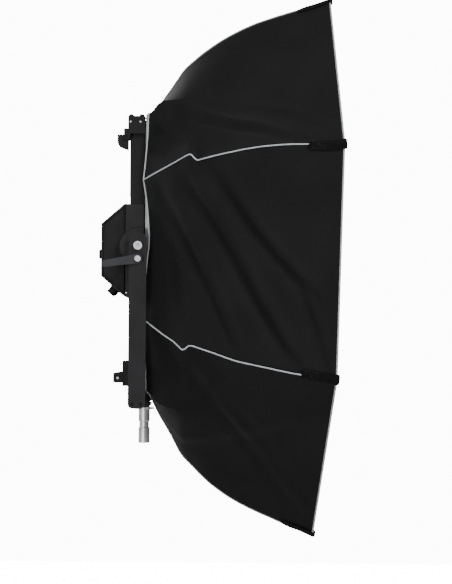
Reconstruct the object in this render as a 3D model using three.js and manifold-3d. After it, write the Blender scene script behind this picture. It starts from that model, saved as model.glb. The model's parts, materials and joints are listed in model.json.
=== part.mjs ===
// Octagonal softbox on its LED panel head, hung in a tilting yoke with a stand pin.
// Millimetres, +Z up. Light leaves along +X. The origin is the centre of the stand pin's lower end.
// "right" is -Y and "left" is +Y: the sides as seen from behind the light.
import * as THREE from "three";
import { mergeVertices } from "three/addons/utils/BufferGeometryUtils.js";
import Module from "manifold-3d";

const wasm = await Module();
wasm.setup();

// ---------------------------------------------------------------- driving dimensions
const fit = 0.3; // gap left between two pieces that touch

// stand pin, carriage and yoke
const pinRadius = 14.3; // a junior pin, 1 1/8 inch
const pinLength = 90;
const pinForward = 4; // the pin's axis stands this much in front of the tilt axis
const yokeArmWidth = 41; // front to back
const yokeArmThick = 20;
const yokeArmRise = 12; // centre of the arm's round top above the tilt axis
const crossbarThick = 21;
const crossbarInset = 3; // the crossbar's faces lie this much inside the arms' edges
const carriagePlate = 12.7;
const armFoot = 7; // the arms end this much above the carriage plate's underside
const carriageHalfWidth = 45;
const pivotShankRadius = 6;
const pivotHeadRadius = 10;
const pivotHeadThick = 9;

// lock lever on the right arm
const leverDrop = 31; // lever screw below the tilt axis
const leverLength = 86;
const leverHubRadius = 11;
const leverTipWidth = 16;
const leverThick = 8;
const leverAngle = 9; // degrees below level, pointing to the rear
const leverScrewRadius = 4;

// LED panel head, centred headDrop below the tilt axis
const headDrop = 14;
const panelHalfWidth = 390;
const panelHalfHeight = 312;
const armGap = 32; // panel side to an arm's inner face
const yokeInsideHalf = panelHalfWidth + armGap;
const underGap = 63; // panel's lower edge to the underside of the yoke
const yokeDepth = headDrop + panelHalfHeight + underGap;
const panelBack = -21;
const panelFront = 15;
const panelWall = 2.5;
const bezelThick = 2.7;
const bezelWidth = 30;
const boardThick = 3;
const boardBack = panelBack + 6;
const opalThick = 3;
const opalBack = panelFront - 11;
const housingRear = panelBack - 67;
const housingHalfHeight = 109;
const housingRearHalfHeight = 62;
const housingLift = 5; // housing's centre above the panel's
const housingShoulder = panelBack - 13; // where the slopes of the driver housing begin
const housingWall = 3;
const capThick = 7.7; // cast side caps
const capBossRadius = 43;
const rearCoverThick = 2.7;
const rearCoverHalfWidth = 250;

// latches on the panel's corners
const blockHalfOut = panelHalfWidth + 12; // outer side of a corner block
const blockWidth = 42;
const blockRear = panelBack - 6;
const blockFront = panelFront - 2;
const topBlockBottom = panelHalfHeight - 32;
const blockOver = 10; // material beyond the panel's edge
const tabHeight = 4;
const latchPivotX = blockRear - 4;
const latchPivotZ = topBlockBottom - 7;
const latchTrunnionRadius = 2.5;
const bottomBlockRear = panelBack - 14;
const bottomBlockTop = 56 - panelHalfHeight;
const noseRear = bottomBlockRear - 22;
const noseHeight = 23;

// softbox frame, ribs and cloth
const frameHalfWidth = panelHalfWidth + 10; // outside of the cloth's hem
const frameHalfHeight = panelHalfHeight + 18;
const frameBack = panelFront + fit;
const frameFront = frameBack + 23.7;
const frameBar = 18;
const clothThick = 3;
const hemBack = frameBack + 1.7;
const octagonRadius = 700; // centre to a corner of the front octagon
const mouthX = octagonRadius * 0.624; // front edge of the cloth at the top and bottom ribs
const sideMouthX = octagonRadius * 0.666; // and at the side ribs, which reach further forward
const droop = 27; // the front hangs this much below the frame
const mouthLean = 0.025; // and leans forward by this share of the height
const sideAnchorZ = frameHalfHeight * 0.51; // rib roots on the frame's upright bars
const topAnchorY = frameHalfWidth * 0.625; // rib roots on the frame's level bars
const kneeX = frameFront + octagonRadius * 0.084; // where a rib's straight arm ends
const kneeShare = 0.42; // share of the sideways reach gained there
const startSlope = 2.53 / mouthX; // share per millimetre, at the frame
const armSlope = 1.97 / mouthX; // at the end of a rib's straight arm
const rodSlope = 1.57 / mouthX; // where its rod begins
const mouthSlope = 0.52 / mouthX;
const mouthHalf = octagonRadius * Math.cos(Math.PI / 8); // centre to a flat side of the octagon
const cornerEase = 180; // depth over which the frame's corner fades out of the cloth
const clothSag = 10;
const rodRadius = 4;
const rodBoreRadius = 4.5;
const rodInset = 10; // cloth to a rod's centre line
const kneeInset = 19; // cloth to a knuckle's centre
const armRadius = 7;
const knuckleRadius = 11;
const knuckleLength = 34;
const rodSeat = 14; // length of rod held in a knuckle
const innerDiffuserX = mouthX * 0.48;
const innerDiffuserInset = 45;
const frontDiffuserX = mouthX - 28;
const frontDiffuserInset = 18;
const sheetThick = 2;

// controls
const knobRadius = 13;
const knobHeight = 16;
const knobY = [-120, 120];
const switchSize = [9, 15, 26];
const switchY = 205;
const switchRock = 8; // degrees either side of level
const inletRadius = 13;
const inletLength = 18;
const inletY = 60 - panelHalfWidth;
const dataY = 120 - panelHalfWidth;

// ---------------------------------------------------------------- materials
const finish = (color, roughness, metalness) =>
  new THREE.MeshStandardMaterial({ color, roughness, metalness });
const cloth = finish(0x1c1c1e, 0.85, 0);
const diffuserCloth = finish(0xf2f2ee, 0.8, 0);
const paint = finish(0x1f2022, 0.5, 0.2);
const moulded = finish(0x141415, 0.6, 0);
const steel = finish(0xb9bcc0, 0.3, 1);
const aluminium = finish(0x8a8c90, 0.4, 1);
const fibreglass = finish(0x2a2a2c, 0.4, 0);
const opalPlastic = finish(0xf4f4f0, 0.4, 0);
const boardGreen = finish(0xe9eae4, 0.6, 0);

// ---------------------------------------------------------------- geometry helpers
// A geometry as a manifold solid.
function solid(geometry) {
  const bare = geometry.clone();
  bare.deleteAttribute("normal");
  bare.deleteAttribute("uv");
  const merged = mergeVertices(bare, 1e-4);
  return new wasm.Manifold(
    new wasm.Mesh({
      numProp: 3,
      vertProperties: new Float32Array(merged.attributes.position.array),
      triVerts: new Uint32Array(merged.index.array),
    }),
  );
}

// A manifold solid as a geometry.
function geometryOf(made) {
  const mesh = made.getMesh();
  return new THREE.BufferGeometry()
    .setAttribute("position", new THREE.BufferAttribute(new Float32Array(mesh.vertProperties), 3))
    .setIndex(new THREE.BufferAttribute(new Uint32Array(mesh.triVerts), 1));
}

const joined = (...parts) => geometryOf(parts.map(solid).reduce((a, b) => a.add(b)));
const cut = (body, ...tools) => geometryOf(tools.map(solid).reduce((a, b) => a.subtract(b), solid(body)));

// A box between two opposite corners.
function box(low, high) {
  const size = high.map((h, i) => h - low[i]);
  const middle = high.map((h, i) => (h + low[i]) / 2);
  return new THREE.BoxGeometry(...size).translate(...middle);
}

const outline = (points) => new THREE.Shape(points.map(([a, b]) => new THREE.Vector2(a, b)));

// An outline in X and Z, extruded along Y.
function prismY(shape, y0, y1) {
  const geometry = new THREE.ExtrudeGeometry(shape, { depth: y1 - y0, bevelEnabled: false, curveSegments: 16 });
  return geometry.rotateX(Math.PI / 2).translate(0, y1, 0);
}

// An outline in Y and Z, extruded along X.
function prismX(shape, x0, x1) {
  const geometry = new THREE.ExtrudeGeometry(shape, { depth: x1 - x0, bevelEnabled: false, curveSegments: 16 });
  const turn = new THREE.Matrix4().set(0, 0, 1, 0, 1, 0, 0, 0, 0, 1, 0, 0, 0, 0, 0, 1);
  return geometry.applyMatrix4(turn).translate(x0, 0, 0);
}

// A cylinder from one point to another.
function rod(from, to, radius, sides = 24) {
  const a = new THREE.Vector3(...from);
  const b = new THREE.Vector3(...to);
  const along = b.clone().sub(a);
  const geometry = new THREE.CylinderGeometry(radius, radius, along.length(), sides);
  const turn = new THREE.Quaternion().setFromUnitVectors(new THREE.Vector3(0, 1, 0), along.clone().normalize());
  return geometry.applyQuaternion(turn).translate(...a.add(b).multiplyScalar(0.5));
}

// A turned piece: [radius, height] pairs from the axis back to the axis, standing on +Z.
function turned(profile, sides = 32) {
  const points = profile.map(([r, z]) => new THREE.Vector2(r, z));
  return new THREE.LatheGeometry(points, sides).rotateX(Math.PI / 2);
}

const softbox = new THREE.Group();
const tilting = new THREE.Group(); // everything placed from the tilt axis
tilting.position.set(-pinForward, 0, pinLength + fit + yokeDepth);
const head = new THREE.Group(); // everything placed from the panel's centre
head.position.set(0, 0, -headDrop);
tilting.add(head);
const driver = new THREE.Group(); // everything placed from the driver housing's centre
driver.position.set(0, 0, housingLift);
head.add(driver);
softbox.add(tilting);

function add(group, name, geometry, material) {
  const mesh = new THREE.Mesh(geometry, material);
  mesh.name = name;
  group.add(mesh);
}

const sides = { right: -1, left: 1 };

// ---------------------------------------------------------------- stand pin and yoke
function standPin() {
  const neckRadius = pinRadius - 2;
  const neck = [pinLength - 52, pinLength - 34]; // safety groove for the stand's locking screw
  const chamfer = 2;
  return turned([
    [0, 0],
    [pinRadius - chamfer, 0],
    [pinRadius, chamfer],
    [pinRadius, neck[0]],
    [neckRadius, neck[0] + chamfer],
    [neckRadius, neck[1] - chamfer],
    [pinRadius, neck[1]],
    [pinRadius, pinLength],
    [0, pinLength],
  ]);
}

const armHalf = yokeArmWidth / 2;
const yokeBottom = -yokeDepth;
const armBottom = yokeBottom + armFoot;
const crossbarBottom = yokeBottom + carriagePlate + fit;
const crossbarTop = crossbarBottom + crossbarThick;

// The upright arm: a flat bar with a round top over the tilt axis and rounded lower corners.
function yokeArm(side) {
  const corner = 11;
  const shape = new THREE.Shape();
  shape.moveTo(armHalf, armBottom + corner);
  shape.lineTo(armHalf, yokeArmRise);
  shape.absarc(0, yokeArmRise, armHalf, 0, Math.PI, false);
  shape.lineTo(-armHalf, armBottom + corner);
  shape.absarc(-armHalf + corner, armBottom + corner, corner, Math.PI, 1.5 * Math.PI, false);
  shape.absarc(armHalf - corner, armBottom + corner, corner, 1.5 * Math.PI, 2 * Math.PI, false);
  const inner = side * yokeInsideHalf;
  const outer = side * (yokeInsideHalf + yokeArmThick);
  const bar = prismY(shape, Math.min(inner, outer), Math.max(inner, outer));
  const bore = rod([0, inner - side, 0], [0, outer + side, 0], pivotShankRadius + fit);
  if (side === sides.left) return cut(bar, bore);
  const screwHole = rod([0, inner - side, -leverDrop], [0, outer + side, -leverDrop], leverScrewRadius + fit);
  return cut(bar, bore, screwHole);
}

function crossbar() {
  const reach = yokeInsideHalf - fit;
  const half = armHalf - crossbarInset;
  return box([-half, -reach, crossbarBottom], [half, reach, crossbarTop]);
}

// The plate under the crossbar that carries the pin.
function pinCarriage() {
  const front = armHalf + 1;
  const chamfer = 6;
  const shape = outline([
    [-front, yokeBottom],
    [front - chamfer, yokeBottom],
    [front, yokeBottom + chamfer],
    [front, yokeBottom + carriagePlate],
    [-front, yokeBottom + carriagePlate],
  ]);
  return prismY(shape, -carriageHalfWidth, carriageHalfWidth);
}

const armOuter = yokeInsideHalf + yokeArmThick;
const capOuter = panelHalfWidth + fit + capThick;

// The bright bolt that carries the head: it turns with the head inside the arm's bore.
function pivotBolt(side) {
  const shank = rod([0, side * (capOuter + fit), 0], [0, side * (armOuter + fit + 1), 0], pivotShankRadius);
  const face = armOuter + fit;
  const cap = rod([0, side * face, 0], [0, side * (face + pivotHeadThick), 0], pivotHeadRadius, 32);
  const socketAt = face + pivotHeadThick;
  const socket = rod([0, side * (socketAt - 5), 0], [0, side * (socketAt + 1), 0], 5, 6);
  return cut(joined(shank, cap), socket);
}

// The flat lock lever, built pointing to the rear from its screw.
function lockLever() {
  const near = armOuter + fit;
  const shape = new THREE.Shape();
  const half = leverTipWidth / 2;
  shape.moveTo(0, leverHubRadius);
  shape.lineTo(-leverLength + half, half);
  shape.absarc(-leverLength + half, 0, half, Math.PI / 2, 1.5 * Math.PI, false);
  shape.lineTo(0, -leverHubRadius);
  shape.absarc(0, 0, leverHubRadius, -Math.PI / 2, Math.PI / 2, false);
  const plate = prismY(shape, -near - leverThick, -near);
  const bore = rod([0, -near + 1, 0], [0, -near - leverThick - 1, 0], leverScrewRadius + fit);
  return cut(plate, bore).rotateY(-THREE.MathUtils.degToRad(leverAngle)).translate(0, 0, -leverDrop);
}

function leverScrew() {
  const headThick = 4;
  const under = armOuter + fit + leverThick + fit;
  const shank = rod([0, -yokeInsideHalf - 2, -leverDrop], [0, -under - 1, -leverDrop], leverScrewRadius);
  const cap = rod([0, -under, -leverDrop], [0, -under - headThick, -leverDrop], leverScrewRadius + 3, 24);
  const socket = rod([0, -under - 1.5, -leverDrop], [0, -under - headThick - 1, -leverDrop], 3, 6);
  return cut(joined(shank, cap), socket);
}

function buildYoke() {
  add(softbox, "stand_pin", standPin().translate(0, 0, 0), steel);
  add(tilting, "pin_carriage", pinCarriage(), paint);
  add(tilting, "yoke_crossbar", crossbar(), paint);
  for (const [name, side] of Object.entries(sides)) {
    add(tilting, `yoke_arm_${name}`, yokeArm(side), paint);
    add(tilting, `pivot_bolt_${name}`, pivotBolt(side), steel);
  }
  add(tilting, "lock_lever", lockLever(), moulded);
  add(tilting, "lever_screw", leverScrew(), steel);
}

// ---------------------------------------------------------------- LED panel head
function backTray() {
  const outer = box(
    [panelBack, -panelHalfWidth, -panelHalfHeight],
    [panelFront - bezelThick - fit, panelHalfWidth, panelHalfHeight],
  );
  const inner = box(
    [panelBack + panelWall, -panelHalfWidth + panelWall, -panelHalfHeight + panelWall],
    [panelFront, panelHalfWidth - panelWall, panelHalfHeight - panelWall],
  );
  return cut(outer, inner);
}

// A flat plate inside the tray, smaller than its cavity all round.
function trayPlate(back, thick) {
  const halfWidth = panelHalfWidth - panelWall - fit;
  const halfHeight = panelHalfHeight - panelWall - fit;
  return box([back, -halfWidth, -halfHeight], [back + thick, halfWidth, halfHeight]);
}

function bezel() {
  const back = panelFront - bezelThick;
  const outer = box([back, -panelHalfWidth, -panelHalfHeight], [panelFront, panelHalfWidth, panelHalfHeight]);
  const halfWidth = panelHalfWidth - bezelWidth;
  const halfHeight = panelHalfHeight - bezelWidth;
  return cut(outer, box([back - 1, -halfWidth, -halfHeight], [panelFront + 1, halfWidth, halfHeight]));
}

// Side outline of the driver housing, with every edge moved in by an inset.
const housingOutline = (front, inset = 0) => {
  const tall = housingHalfHeight - inset;
  const low = housingRearHalfHeight - inset * 0.6;
  const rear = housingRear + inset;
  const shoulder = housingShoulder + inset * 0.4;
  return outline([
    [front, -tall],
    [front, tall],
    [shoulder, tall],
    [rear, low],
    [rear, -low],
    [shoulder, -tall],
  ]);
};

// The slope of the housing's underside: a point on it, and the direction that faces out.
const slope = new THREE.Vector2(
  housingShoulder - housingRear,
  -(housingHalfHeight - housingRearHalfHeight),
).normalize();
const slopeOut = [slope.y, -slope.x];
const socketShare = 0.58; // place of the sockets between the slope's rear and front edges
const onSlope = (y, out) => [
  THREE.MathUtils.lerp(housingRear, housingShoulder, socketShare) + slopeOut[0] * out,
  y,
  -THREE.MathUtils.lerp(housingRearHalfHeight, housingHalfHeight, socketShare) + slopeOut[1] * out,
];

function driverHousing() {
  const front = panelBack - fit;
  const half = panelHalfWidth;
  const shell = prismY(housingOutline(front), -half, half);
  const hollow = prismY(housingOutline(front + 1, housingWall), -half + housingWall, half - housingWall);
  const inletHole = rod(onSlope(inletY, -8), onSlope(inletY, 3), inletRadius - 4 + fit);
  const dataHole = rod(onSlope(dataY, -8), onSlope(dataY, 3), inletRadius - 5 + fit);
  return cut(shell, hollow, inletHole, dataHole);
}

// A cast cap closes each end of the housing and carries the round tilt boss.
function sideCap(side) {
  const near = side * (panelHalfWidth + fit);
  const far = side * capOuter;
  const plate = prismY(housingOutline(blockFront), Math.min(near, far), Math.max(near, far));
  const bossStep = armGap - fit - capThick - 1; // the boss reaches from the cap nearly to the arm
  const axisZ = headDrop - housingLift; // the tilt axis, from the housing's centre
  const boss = rod([0, near, axisZ], [0, far + side * bossStep, axisZ], capBossRadius, 48);
  const trim = box([blockFront, -armOuter, -capBossRadius * 2], [capBossRadius * 2, armOuter, capBossRadius * 2]);
  const seat = rod([0, far, axisZ], [0, far + side * (bossStep + 2), axisZ], pivotShankRadius + fit);
  return cut(joined(plate, boss), trim, seat);
}

function rearCover() {
  const half = housingRearHalfHeight - 6;
  const shape = outline([
    [-rearCoverHalfWidth, -half],
    [rearCoverHalfWidth, -half],
    [rearCoverHalfWidth, half],
    [-rearCoverHalfWidth, half],
  ]);
  const plate = prismX(shape, housingRear - fit - rearCoverThick, housingRear - fit);
  const [, wide, tall] = switchSize;
  const window = box(
    [housingRear - 10, switchY - wide / 2 - fit, -tall / 2 - fit],
    [housingRear + 1, switchY + wide / 2 + fit, tall / 2 + fit],
  );
  return cut(plate, window);
}

const coverFace = housingRear - fit - rearCoverThick;
const rockerAxle = housingRear; // depth of the switch's axle

function knob(y) {
  const back = coverFace - fit;
  const skirt = rod([back, y, 0], [back - 3, y, 0], knobRadius, 32);
  const grip = rod([back - 2, y, 0], [back - knobHeight, y, 0], knobRadius - 2, 20);
  const mark = box([back - knobHeight - 1, y - 0.8, 3], [back - knobHeight + 1, y + 0.8, knobRadius]);
  return cut(joined(skirt, grip), mark);
}

// The rocker sits in the cover's window, pressed at its top, and turns about an axle along Y.
function powerSwitch() {
  const [thick, wide, tall] = switchSize;
  const base = rockerAxle - housingRear + fit;
  const rise = (tall / 2) * Math.tan(THREE.MathUtils.degToRad(switchRock + 1));
  const shape = outline([
    [-base, 0],
    [-base - rise, tall / 2 - 2.5],
    [-thick, tall / 2 - 3],
    [1 - thick, 0],
    [-thick, 3 - tall / 2],
    [-base - rise, 2.5 - tall / 2],
  ]);
  const rocker = prismY(shape, switchY - wide / 2, switchY + wide / 2);
  return rocker.rotateY(-THREE.MathUtils.degToRad(switchRock)).translate(rockerAxle, 0, 0);
}

// A round chassis connector on the sloped underside: flange, collar and open mouth.
function connector(y, radius, length) {
  const neck = rod(onSlope(y, -6), onSlope(y, 1), radius - 4);
  const flange = rod(onSlope(y, fit), onSlope(y, 3), radius);
  const collar = rod(onSlope(y, 2), onSlope(y, length), radius - 2);
  const mouth = rod(onSlope(y, 6), onSlope(y, length + 1), radius - 5);
  const core = rod(onSlope(y, 5), onSlope(y, length - 4), radius - 8);
  return joined(cut(joined(neck, flange, collar), mouth), core);
}

// What a corner block must stay clear of: the panel's own envelope.
const panelEnvelope = () =>
  box(
    [panelBack - fit, -panelHalfWidth - fit, -panelHalfHeight - fit],
    [frameBack, panelHalfWidth + fit, panelHalfHeight + fit],
  );

// Low and high corners of a box on one side of the head, given the distances from the centre plane.
const sideBox = (side, [x0, near, z0], [x1, far, z1]) =>
  box([x0, Math.min(side * near, side * far), z0], [x1, Math.max(side * near, side * far), z1]);

const earThick = 4;
const blockInner = blockHalfOut - blockWidth;

// The upper corner block: a cap over the panel's corner, two tabs and two ears for the latch.
function topBlock(side) {
  const top = panelHalfHeight + blockOver;
  const body = sideBox(side, [blockRear, blockInner, topBlockBottom], [blockFront, blockHalfOut, top]);
  const tabs = [blockRear + 7, blockFront - 8].map((x) =>
    sideBox(side, [x - 5, blockInner + 4, top - 1], [x + 5, blockHalfOut - 3, top + tabHeight]),
  );
  const earRear = latchPivotX - 6;
  const ear = (near) =>
    sideBox(side, [earRear, near, latchPivotZ - 7], [panelBack - fit, near + earThick, topBlockBottom + 12]);
  const hole = rod(
    [latchPivotX, side * (blockInner - 1), latchPivotZ],
    [latchPivotX, side * (blockHalfOut + 1), latchPivotZ],
    latchTrunnionRadius + fit,
    16,
  );
  return cut(joined(body, ...tabs, ear(blockInner), ear(blockHalfOut - earThick)), panelEnvelope(), hole);
}

// The latch between the ears: a cam finger with a thumb pad, turning on its own trunnions.
function latch(side) {
  const shape = new THREE.Shape();
  shape.moveTo(latchPivotX + 5, latchPivotZ);
  shape.absarc(latchPivotX, latchPivotZ, 5, 0, Math.PI / 2, false);
  shape.lineTo(latchPivotX - 21, latchPivotZ + 5);
  shape.lineTo(latchPivotX - 21, latchPivotZ - 12);
  shape.quadraticCurveTo(latchPivotX - 20, latchPivotZ - 22, latchPivotX - 12, latchPivotZ - 25);
  shape.lineTo(latchPivotX + 5, latchPivotZ - 31);
  const near = side * (blockInner + earThick + fit);
  const far = side * (blockHalfOut - earThick - fit);
  const finger = prismY(shape, Math.min(near, far), Math.max(near, far));
  const trunnion = rod(
    [latchPivotX, side * (blockInner + 0.5), latchPivotZ],
    [latchPivotX, side * (blockHalfOut - 0.5), latchPivotZ],
    latchTrunnionRadius,
    16,
  );
  return joined(finger, trunnion);
}

// The lower corner block: a fixed hook with a nose that the head stands on when laid on its back.
function bottomBlock(side) {
  const bottom = -panelHalfHeight - 4;
  const body = sideBox(side, [bottomBlockRear, blockInner, bottom], [blockFront, blockHalfOut, bottomBlockTop]);
  const noseTop = bottom + noseHeight + 8;
  const nose = prismY(
    outline([
      [bottomBlockRear + 1, bottom + 8],
      [bottomBlockRear + 1, noseTop + 4],
      [noseRear, noseTop],
      [noseRear, bottom + 8],
    ]),
    Math.min(side * (blockInner + 8), side * (blockHalfOut - 4)),
    Math.max(side * (blockInner + 8), side * (blockHalfOut - 4)),
  );
  return cut(joined(body, nose), panelEnvelope());
}

function buildHead() {
  add(head, "panel_tray", backTray(), paint);
  add(head, "led_board", trayPlate(boardBack, boardThick), boardGreen);
  add(head, "opal_plate", trayPlate(opalBack, opalThick), opalPlastic);
  add(head, "front_bezel", bezel(), paint);
  add(driver, "driver_housing", driverHousing(), paint);
  add(driver, "rear_cover", rearCover(), moulded);
  knobY.forEach((y, i) => add(driver, `control_knob_${i + 1}`, knob(y), moulded));
  add(driver, "power_switch", powerSwitch(), moulded);
  add(driver, "power_inlet", connector(inletY, inletRadius, inletLength), moulded);
  add(driver, "data_socket", connector(dataY, inletRadius - 1, inletLength - 4), moulded);
  for (const [name, side] of Object.entries(sides)) {
    add(driver, `side_cap_${name}`, sideCap(side), paint);
    add(head, `corner_block_top_${name}`, topBlock(side), moulded);
    add(head, `frame_latch_${name}`, latch(side), moulded);
    add(head, `corner_block_bottom_${name}`, bottomBlock(side), moulded);
  }
}

// ---------------------------------------------------------------- softbox frame
// Four bars with mitred ends make the frame that sits on the panel's face.
function frameBars() {
  const wide = frameHalfWidth - clothThick - 2 * fit;
  const tall = frameHalfHeight - clothThick - 2 * fit;
  const bar = (half, reach) =>
    outline([
      [-half, reach],
      [-half + frameBar, reach - frameBar],
      [half - frameBar, reach - frameBar],
      [half, reach],
    ]);
  const level = (turn) => {
    const geometry = prismX(bar(wide - fit, tall), frameBack, frameFront);
    return geometry.rotateX(turn);
  };
  const upright = (turn) => {
    const geometry = prismX(bar(tall - fit, wide), frameBack, frameFront);
    return geometry.rotateX(turn);
  };
  return {
    frame_top: level(0),
    frame_bottom: level(Math.PI),
    frame_left: upright(-Math.PI / 2),
    frame_right: upright(Math.PI / 2),
  };
}

// ---------------------------------------------------------------- ribs
const cornerAngle = Math.PI / 8;
const mouthNear = octagonRadius * Math.sin(cornerAngle);

// Root on the frame and tip at the mouth of each rib, as [Y, Z], clockwise from behind. A rib's
// stretch is the share by which it reaches further forward than the top ribs.
const ribs = [
  ["top_right", [-topAnchorY, frameHalfHeight], [-mouthNear, mouthHalf - droop]],
  ["upper_right", [-frameHalfWidth, sideAnchorZ], [-mouthHalf, mouthNear - droop]],
  ["lower_right", [-frameHalfWidth, -sideAnchorZ], [-mouthHalf, -mouthNear - droop]],
  ["bottom_right", [-topAnchorY, -frameHalfHeight], [-mouthNear, -mouthHalf - droop]],
  ["bottom_left", [topAnchorY, -frameHalfHeight], [mouthNear, -mouthHalf - droop]],
  ["lower_left", [frameHalfWidth, -sideAnchorZ], [mouthHalf, -mouthNear - droop]],
  ["upper_left", [frameHalfWidth, sideAnchorZ], [mouthHalf, mouthNear - droop]],
  ["top_left", [topAnchorY, frameHalfHeight], [mouthNear, mouthHalf - droop]],
].map(([name, root, tip]) => ({
  name,
  root: new THREE.Vector2(...root),
  tip: new THREE.Vector2(...tip),
  stretch: Math.abs(root[0]) === frameHalfWidth ? (sideMouthX - hemBack) / (mouthX - hemBack) : 1,
}));

// A cubic that has the given values and slopes at its two ends.
function eased(x, [x0, v0, m0], [x1, v1, m1]) {
  const h = x1 - x0;
  const t = (x - x0) / h;
  const rise = t * t * (3 - 2 * t);
  return v0 * (1 - rise) + v1 * rise + h * (m0 * t * (1 - t) ** 2 - m1 * t * t * (1 - t));
}

// Share of its sideways reach that a rib has gained at a station x.
function reachShare(x) {
  if (x < kneeX) return eased(x, [hemBack, 0, startSlope], [kneeX, kneeShare, armSlope]);
  return eased(x, [kneeX, kneeShare, rodSlope], [mouthX, 1, mouthSlope]);
}

// The seam over a rib, where the cloth lies. A station x is the depth on a top rib; a side rib's
// stations lie further apart.
function seam(rib, x) {
  const share = reachShare(x);
  const across = rib.root.clone().lerp(rib.tip, share);
  const leaning = share * mouthLean * (rib.tip.y + droop);
  return new THREE.Vector3(hemBack + (x - hemBack) * rib.stretch + leaning, across.x, across.y);
}

// The direction out of the softbox's middle, level with a point.
const outwards = (point) => new THREE.Vector3(0, point.y, point.z).normalize();

// A point a given distance inside the cloth, below the seam, square to the rib's curve.
function insideSeam(rib, x, inset) {
  const step = 2;
  const ahead = seam(rib, Math.min(x + step, mouthX));
  const behind = seam(rib, x - step);
  const rise = Math.hypot(ahead.y - behind.y, ahead.z - behind.z);
  const lean = Math.atan2(rise, ahead.x - behind.x);
  const here = seam(rib, x);
  here.addScaledVector(outwards(here), -inset * Math.cos(lean));
  here.x += inset * Math.sin(lean);
  return here;
}

const kneeOf = (rib) => insideSeam(rib, kneeX - 12, kneeInset);

// The line of a rod: out of its knuckle, then along the seam to the mouth.
function rodPoints(rib) {
  const shares = [0.08, 0.16, 0.28, 0.42, 0.57, 0.72, 0.86, 0.96]; // of the way from knee to mouth
  return shares.map((share) => insideSeam(rib, kneeX + share * (mouthX - kneeX), rodInset));
}

function rodLine(rib) {
  const start = kneeOf(rib);
  const points = rodPoints(rib);
  const away = points[0].clone().sub(start).normalize();
  const seat = start.clone().addScaledVector(away, knuckleLength / 2 - rodSeat);
  const mouth = start.clone().addScaledVector(away, knuckleLength / 2 + 2);
  return { away, seat, curve: new THREE.CatmullRomCurve3([seat, mouth, ...points]) };
}

function ribRod(rib) {
  const section = new THREE.Shape();
  section.absarc(0, 0, rodRadius, 0, 2 * Math.PI, false);
  return new THREE.ExtrudeGeometry(section, {
    steps: 18,
    curveSegments: 4,
    extrudePath: rodLine(rib).curve,
  });
}

// The fixed arm of a rib: a foot on the frame's face, a straight bar and a bored knuckle.
function ribArm(rib) {
  const { away } = rodLine(rib);
  const knee = kneeOf(rib);
  const foot = rib.root.clone();
  const back = frameBar / 2 + clothThick + fit;
  const upright = Math.abs(rib.root.x) === frameHalfWidth;
  if (upright) foot.x -= Math.sign(foot.x) * back;
  else foot.y -= Math.sign(foot.y) * back;
  const footTop = frameFront + 14;
  const size = frameBar / 2 - 1;
  const base = box(
    [frameFront + fit, foot.x - size, foot.y - size],
    [footTop, foot.x + size, foot.y + size],
  );
  const start = [footTop - armRadius, foot.x, foot.y];
  const bar = rod(start, knee.toArray(), armRadius, 12);
  const half = knuckleLength / 2;
  const ends = [-half, half].map((s) => knee.clone().addScaledVector(away, s).toArray());
  const knuckle = rod(ends[0], ends[1], knuckleRadius, 16);
  const boreFrom = knee.clone().addScaledVector(away, half - rodSeat - fit);
  const boreTo = knee.clone().addScaledVector(away, half + 2);
  return cut(joined(base, bar, knuckle), rod(boreFrom.toArray(), boreTo.toArray(), rodBoreRadius, 16));
}

// ---------------------------------------------------------------- cloth
const goreNames = ["top_right", "right", "bottom_right", "bottom", "bottom_left", "left", "top_left", "top"];
const goreShares = [0.3, 0.63, 1]; // of the way from the frame's front to the knee
const rodShares = [0.06, 0.14, 0.25, 0.39, 0.57, 0.77, 1]; // and from the knee to the mouth
const goreStations = [
  hemBack,
  (hemBack + frameFront) / 2,
  frameFront + 3,
  ...goreShares.map((share) => frameFront + 3 + share * (kneeX - frameFront - 3)),
  ...rodShares.map((share) => kneeX + share * (mouthX - kneeX)),
];
const goreColumns = 6;

// A point of the cloth between two ribs: u runs from one seam to the other.
function clothPoint(a, b, x, u) {
  const from = seam(a, x);
  const to = seam(b, x);
  const point = from.clone().lerp(to, u);
  const overCorner = a.root.x !== b.root.x && a.root.y !== b.root.y;
  const ease = Math.min(1, Math.max(0, (x - frameFront - 3) / cornerEase));
  const outward = outwards(point);
  if (overCorner) {
    // The frame's corner pushes the cloth out, and fades with depth.
    const corner = new THREE.Vector2(
      Math.sign(a.root.x) * frameHalfWidth,
      Math.sign(a.root.y) * frameHalfHeight,
    );
    const middle = a.root.clone().lerp(b.root, 0.5);
    const push = corner.sub(middle).multiplyScalar((1 - ease) ** 1.75);
    const crease = 1 - Math.abs(2 * u - 1) ** (1 + ease);
    point.add(new THREE.Vector3(0, push.x * crease, push.y * crease));
  }
  const along = Math.min(1, (x - hemBack) / (mouthX - hemBack));
  const sag = clothSag * Math.sin(Math.PI * along) * 4 * u * (1 - u);
  return point.addScaledVector(outward, -sag);
}

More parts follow.
